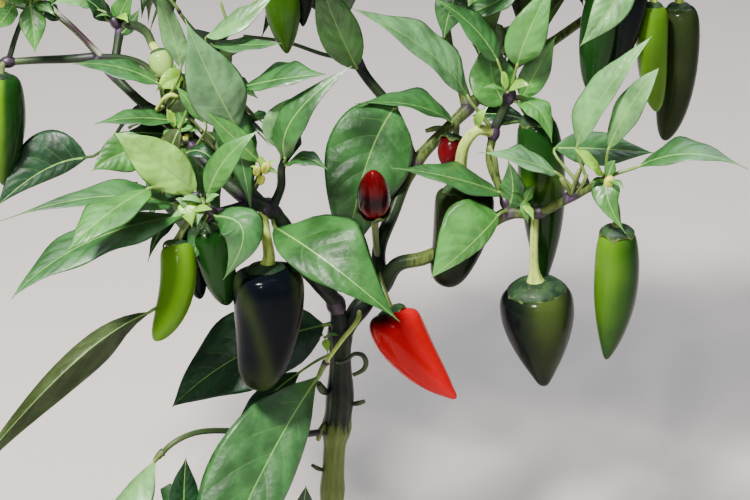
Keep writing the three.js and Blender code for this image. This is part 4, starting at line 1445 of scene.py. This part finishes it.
def grow_towards(point, middle, dice, blades, twigs):
    """One twig with its leaves. Returns how many leaves were kept."""
    start = on_limb(middle)
    out = unit(point - middle)
    end = middle + (point - middle) * TWIG_SHARE
    route = arc(start, unit(middle - start + 0.001 * SKY) + 0.5 * out, out + 0.15 * SKY, end, TWIG_STEPS)
    if not may_show(route, TWIG_HIDDEN_SHARE):
        return 0
    long = np.linalg.norm(np.diff(route, axis=0), axis=1).sum()
    side = unit(np.cross(out, SKY + 0.01 * RIGHT))
    other = np.cross(out, side)
    tone = dice.choice(SPRAY_TONES)
    count = max(2, round(long * LEAFY_SHARE / LEAF_GAP))
    turn = dice.uniform(0, 2 * math.pi)
    kept = []
    for joint in range(count + 1):
        last = joint == count
        along = BARE_SHARE + (1 - BARE_SHARE) * joint / count
        foot = route[round(along * (TWIG_STEPS - 1))]
        turn += GOLDEN_TURN
        around = math.cos(turn) * side + math.sin(turn) * other
        way = out if last else unit(0.5 * out + around + 0.35 * SKY)
        stalk_long = dice.uniform(*STALK_LONG) * MM
        blade_long = dice.uniform(*GROWN_LONG) * MM
        if last:
            blade_long = max(SHORTEST_LAST * MM, float(np.linalg.norm(point - foot)) - stalk_long)
        face = SKY + 0.5 * out - 0.2 * way
        leaf = grown_leaf(foot + way * stalk_long, unit(way - 0.15 * SKY), blade_long, face, dice, tone)
        if may_show(blade_grid(leaf, PLAIN_ROWS, both_ways(PLAIN_COLUMNS))[0]):
            kept.append((foot, leaf))
    for foot, leaf in kept:
        add_blade(blades, leaf, fine=False, lag=dice.random())
        ahead = leaf.through - leaf.base
        end = leaf.base + unit(ahead) * MM
        stalk = arc(foot, leaf.base - foot + 0.003 * SKY, ahead, end, len(GROWN_STALK_RADII))
        twigs.add_tube(stalk, GROWN_STALK_RADII, "leaf_stalk", 5)
    if kept:
        twigs.add_tube(route, np.linspace(*GROWN_TWIG_RADII, len(route)), "twig", 6)
        twig_ends.append(route[-4])
    return len(kept)


twig_ends = []
grown_blades = Pile(LEAF_PAINTS)
masses = [node for node in sorted(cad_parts) if node.startswith("leaves_")]
grown_counts = {}
for node in masses:
    dice = random.Random(node)
    middle, tips = leafy_points(node)
    grown_counts[node] = sum(grow_towards(tip, middle, dice, grown_blades, stalks) for tip in tips)
grown_blades.piece("grown_leaves", "foliage")
print("leaves grown:", sum(grown_counts.values()), grown_counts)

# %% [markdown]
# ## Chillies at the back of the crown
#
# The far side carries fruit too. A few pods hang from the ends of the grown twigs, by the same rule as
# the leaves there: each is kept only where the camera of the photograph can't see it. A place in metres
# is told as a pixel and a depth, so these pods are made just like the placed ones.

# %% Pods by a seeded rule
BACK_PODS = 14
PODS_APART = 42 * MM
BACK_POD_LOOKS = (("slim", "green", 0.75, 17), ("slim", "dark", 0.2, 16), ("heart", "dark", 0.4, 26),
                  ("blunt", "green", 0.4, 20), ("horn", "red", 0.95, 23), ("slim", "green", 0.3, 18))
BACK_STALK_LONG, BACK_STALK_WIDE, BACK_POD_LONG = (12, 18), 2.6, (44, 62)
HANGS_ASIDE = 5


def as_spot(place):
    """The pixel and the depth that `spot` turns back into this place."""
    across, down = pixels(place)
    return float(across), float(down), float(place[1] / MM)


def hanging_pod(foot, dice):
    """A pod on a bowed stalk under a twig, or None where it would be seen or leave the plant's box."""
    kind, paint, ripe, wide = dice.choice(BACK_POD_LOOKS)
    aside = np.array([dice.uniform(-HANGS_ASIDE, HANGS_ASIDE) for _ in range(2)] + [0]) * MM
    top = foot + aside - SKY * dice.uniform(*BACK_STALK_LONG) * MM
    tip = top + 2 * aside - SKY * dice.uniform(*BACK_POD_LONG) * MM
    around = [way * wide * 0.9 * MM for way in (RIGHT, -RIGHT, UP, -UP, LOOK, -LOOK)]
    if not may_show([place + side for place in np.linspace(foot, tip, 15) for side in around], 1.0, ()):
        return None
    bow = foot + aside * 1.5 - SKY * 3 * MM
    return Pod(as_spot(top), as_spot(tip), wide, kind, paint, (as_spot(foot), as_spot(bow)), ripe=ripe,
               stalk_wide=BACK_STALK_WIDE)


dice = random.Random("back pods")
back_pods, feet = {}, []
for foot in dice.sample(twig_ends, len(twig_ends)):
    pod = hanging_pod(foot, dice)
    apart = all(np.linalg.norm(foot - other) > PODS_APART for other in feet)
    if pod and apart and len(back_pods) < BACK_PODS:
        back_pods[f"back_pod_{len(back_pods)}"] = pod
        feet.append(foot)
LIMB_SPOTS = np.vstack([LIMB_SPOTS, feet])
grown = [grown_pod(name, pod) for name, pod in back_pods.items()]
joined([pod for pod, _ in grown], "back_pods")
joined([cap for _, cap in grown], "back_calyxes")
for pod in back_pods.values():
    add_pod_stalk(stalks, pod)
print("pods at the back:", len(back_pods))

# %% [markdown]
# ## Joints, stubs, buds and young shoots
#
# The photograph is full of small marks of growth: purple knuckles where limbs fork, stubs of fallen
# stalks, flower buds, and rosettes of tiny bright leaves at the shoot tips. Each kind is a short list
# of places and one function that builds it on the same piles as the stalks and the blades.

# %% Knuckles, stubs and buds
KNUCKLES = {
    "inner": ((489, 132, 8), 3.3), "inner_high": ((510, 98, 12), 3.4), "right_pod": ((535, 214, -12), 3.4),
    "right_fork": ((573, 196, -16), 2.9), "arm": ((113, 24, 28), 2.9), "corner": ((10, 62, 8), 3.0),
    "left_head": ((212, 212, -46), 2.8), "fork": ((337, 303, -3), 5.2),
    "left_bough": ((266, 207, -31), 4.2), "right_middle": ((502, 205, 0), 3.2),
}
STUBS = {
    "stem_right": (1.3, "twig", ((352, 404, -2), (359, 403, -3), (365, 401, -3))),
    "stem_left_low": (1.2, "twig", ((324, 470, -2), (317, 468, -4), (312, 465, -5))),
    "stem_left_high": (2.2, "twig", ((326, 392, -2), (321, 388, -5), (318, 383, -6))),
    "stem_olive": (1.6, "fruit_stalk", ((324, 424, -4), (320, 432, -6), (318, 440, -6))),
    "right_bough_one": (1.2, "fruit_stalk", ((572, 194, -16), (575, 182, -18), (579, 170, -19))),
    "right_bough_two": (1.3, "fruit_stalk", ((571, 194, -16), (566, 186, -18), (561, 178, -19))),
    "right_bough_three": (1.0, "fruit_stalk", ((577, 192, -16), (583, 184, -18), (587, 175, -19))),
    "inner_right": (1.3, "fruit_stalk", ((502, 190, 5), (497, 172, 4), (494, 156, 4), (489, 146, 6))),
    "yellow_arc": (1.2, "pale_stalk", ((157, 110, -14), (163, 100, -16), (171, 95, -17), (178, 97, -16))),
    "back": (1.5, "fruit_stalk", ((449, 128, 58), (438, 128, 60), (426, 131, 62))),
    "curled": (1.35, "twig", ((338, 362, -5), (347, 360, -8), (354, 354, -8), (362, 355, -7),
        (366, 362, -6), (364, 369, -6), (358, 373, -6), (353, 375, -6))),
}
BUDS = {
    "centre_left": ((257, 171, -42), 2.0), "centre_right": ((266, 168, -42), 2.4),
    "head": ((172, 137, -20), 1.7), "head_right": ((222, 141, -30), 2.0), "corner": ((3, 4, 6), 1.8),
    "far_knob": ((609, 182, -24), 2.6), "centre_green": ((261, 180, -41), 2.0),
    "head_middle": ((186, 138, -20), 1.6),
}


KNOB_RINGS, KNOB_SIDES, KNOB_END = 9, 10, 0.96
KNUCKLE_LONG, BUD_LONG = 1.4, 1.3
STUB_STEP = 1.5 * MM


def add_knob(pile, middle, radius, paint, axis, stretch):
    """A rounded lump: a tube whose radius swells and shrinks."""
    turns = np.linspace(-KNOB_END, KNOB_END, KNOB_RINGS) * math.pi / 2
    route = middle + np.outer(np.sin(turns) * radius * stretch, axis)
    pile.add_tube(route, np.cos(turns) * radius, paint, KNOB_SIDES)


for place, radius in KNUCKLES.values():
    nearest = nearest_spot(spot(*place))
    ahead = unit(LIMB_SPOTS[nearest] - LIMB_SPOTS[nearest - 1])
    add_knob(stalks, LIMB_SPOTS[nearest], radius * MM, "purple_joint", ahead, KNUCKLE_LONG)
for radius, paint, places in STUBS.values():
    route = np.array([spot(*place) for place in places])
    route = smooth_route(np.vstack([on_limb(route[0]), route]), STUB_STEP)
    share = np.linspace(0, 1, len(route))
    stalks.add_tube(route, radius * MM * (0.9 + 0.15 * np.cos(9 * share)), paint, 9)
for place, radius in BUDS.values():
    add_knob(stalks, spot(*place), radius * MM, "bud", unit(SKY + 0.3 * RIGHT), BUD_LONG)


# %% Rosettes of tiny leaves at the shoot tips
ROSETTES = {
    "left_head": ((204, 204, -50), 3, (7, 12)), "centre": ((262, 170, -40), 4, (5, 9)),
    "arm": ((176, 130, -18), 4, (8, 13)), "inner": ((507, 92, 8), 3, (9, 15)),
    "right": ((607, 180, -22), 3, (8, 12)), "fork": ((324, 338, -6), 3, (6, 10)),
    "corner": ((30, 4, 8), 5, (10, 18)), "node": ((116, 18, 26), 4, (8, 13)),
    "pod_star": ((170, 84, -4), 4, (9, 14)), "right_low": ((524, 204, -10), 3, (8, 12)),
    "head_low": ((190, 210, -52), 3, (8, 12)),
}
YOUNG_TONES = ("young", "light", "pale", "light")
SHOOT_RADII = np.linspace(1.2, 0.8, 6) * MM


def add_rosette(blades, twigs, place, count, sizes, dice):
    """Young leaves that open in all directions from one spot, mostly up and towards the light."""
    middle = spot(*place)
    foot = on_limb(middle)
    route = arc(foot, SKY + 0.01 * RIGHT, middle - foot + 0.002 * SKY, middle, len(SHOOT_RADII))
    twigs.add_tube(route, SHOOT_RADII, "fruit_stalk", 6)
    turn = dice.uniform(0, 2 * math.pi)
    for _ in range(count):
        turn += GOLDEN_TURN
        out = math.cos(turn) * RIGHT + math.sin(turn) * 0.6 * UP - 0.35 * LOOK
        way = unit(out + dice.uniform(0.0, 0.7) * SKY)
        long = dice.uniform(*sizes) * MM
        tone = dice.choice(YOUNG_TONES)
        leaf = grown_leaf(middle + way * MM, way, long, SKY - 0.6 * LOOK, dice, tone)
        add_blade(blades, leaf, fine=False, lag=dice.random())


tufts = Pile(LEAF_PAINTS)
for name, (place, count, sizes) in ROSETTES.items():
    add_rosette(tufts, stalks, place, count, sizes, random.Random(name))
tufts.piece("young_shoots", "foliage")

# %% The stalks and twigs as one piece
woody = stalks.piece("stalks_and_twigs", "bough")
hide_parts(*masses)
for shape in (*POD_SHAPES.values(), CALYX):
    bpy.data.objects.remove(shape)

# %% [markdown]
# ## Camera, lights and floor
#
# The photograph looks slightly down on the crown through a long lens, in sun from the upper left. The
# camera stands where the pixel sums put it. A small bright lamp gives the sheen on the folds and clear
# shadows, a tiny one the glints on the fruit, a weak one fills the shadows, and a large one behind and
# above lights the leaves' edges as the sky does. The plant stands on a plain pale floor.

# %% Camera
bpy.ops.object.camera_add(location=EYE.tolist(), rotation=(math.pi / 2 - CAMERA_TILT, 0, 0))
camera = bpy.context.object
camera.data.sensor_fit = "HORIZONTAL"
camera.data.sensor_width = 36.0
camera.data.lens = FOCAL_PIXELS / PHOTO_WIDTH * camera.data.sensor_width
camera.data.clip_end = 20.0
bpy.context.scene.camera = camera


# %% Lamps, floor and background
# Each lamp: its bearing and height in degrees, distance and size in metres, power in watts, and colour.
LAMPS = {
    "key": (-35, 58, 1.7, 0.22, 96, (1.0, 0.97, 0.92)),
    "glint": (-12, 34, 1.7, 0.06, 8, (1.0, 0.98, 0.95)),
    "fill": (55, 25, 1.8, 1.4, 4, (0.88, 0.93, 1.0)),
    "sky": (168, 64, 1.8, 2.0, 46, (0.86, 0.93, 1.0)),
}
FLOOR_SIZE, FLOOR_DROP = 9.0, 0.5 * MM
FLOOR_COLOUR = (0.52, 0.47, 0.445)
STUDIO_COLOUR, STUDIO_STRENGTH = (0.80, 0.78, 0.78, 1.0), 0.15


def lamp(name, bearing, height, distance, size, power, colour):
    """A square soft lamp that points at the crown. Bearing 0 is behind the camera, 90 its right."""
    turn, rise = math.radians(bearing), math.radians(height)
    away = Vector((math.sin(turn) * math.cos(rise), -math.cos(turn) * math.cos(rise), math.sin(rise)))
    bpy.ops.object.light_add(type="AREA", location=Vector(AIM) + away * distance)
    light = bpy.context.object
    light.name = name
    light.data.size, light.data.energy, light.data.color = size, power, colour
    light.rotation_euler = away.to_track_quat("Z", "Y").to_euler()


for name, numbers in LAMPS.items():
    lamp(name, *numbers)
bpy.ops.mesh.primitive_plane_add(size=FLOOR_SIZE, location=(0, 1.5, -FLOOR_DROP))
floor = bpy.context.object
floor.name = "floor"
floor.data.materials.append(Paint("floor", base_color=FLOOR_COLOUR, roughness=0.85).material)
floor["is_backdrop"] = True

world = bpy.data.worlds.new("studio")
world.use_nodes = True
background = world.node_tree.nodes["Background"]
background.inputs["Color"].default_value = STUDIO_COLOUR
background.inputs["Strength"].default_value = STUDIO_STRENGTH
bpy.context.scene.world = world

# %% [markdown]
# ## The size of the plant
#
# The finished plant has to fill the same space as the solid model. Both boxes are printed.

# %% Sizes
show_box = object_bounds()
for label, box in (("solid", solid_box), ("shown", show_box)):
    print(label, [[round(number * 1000) for number in corner] for corner in box])
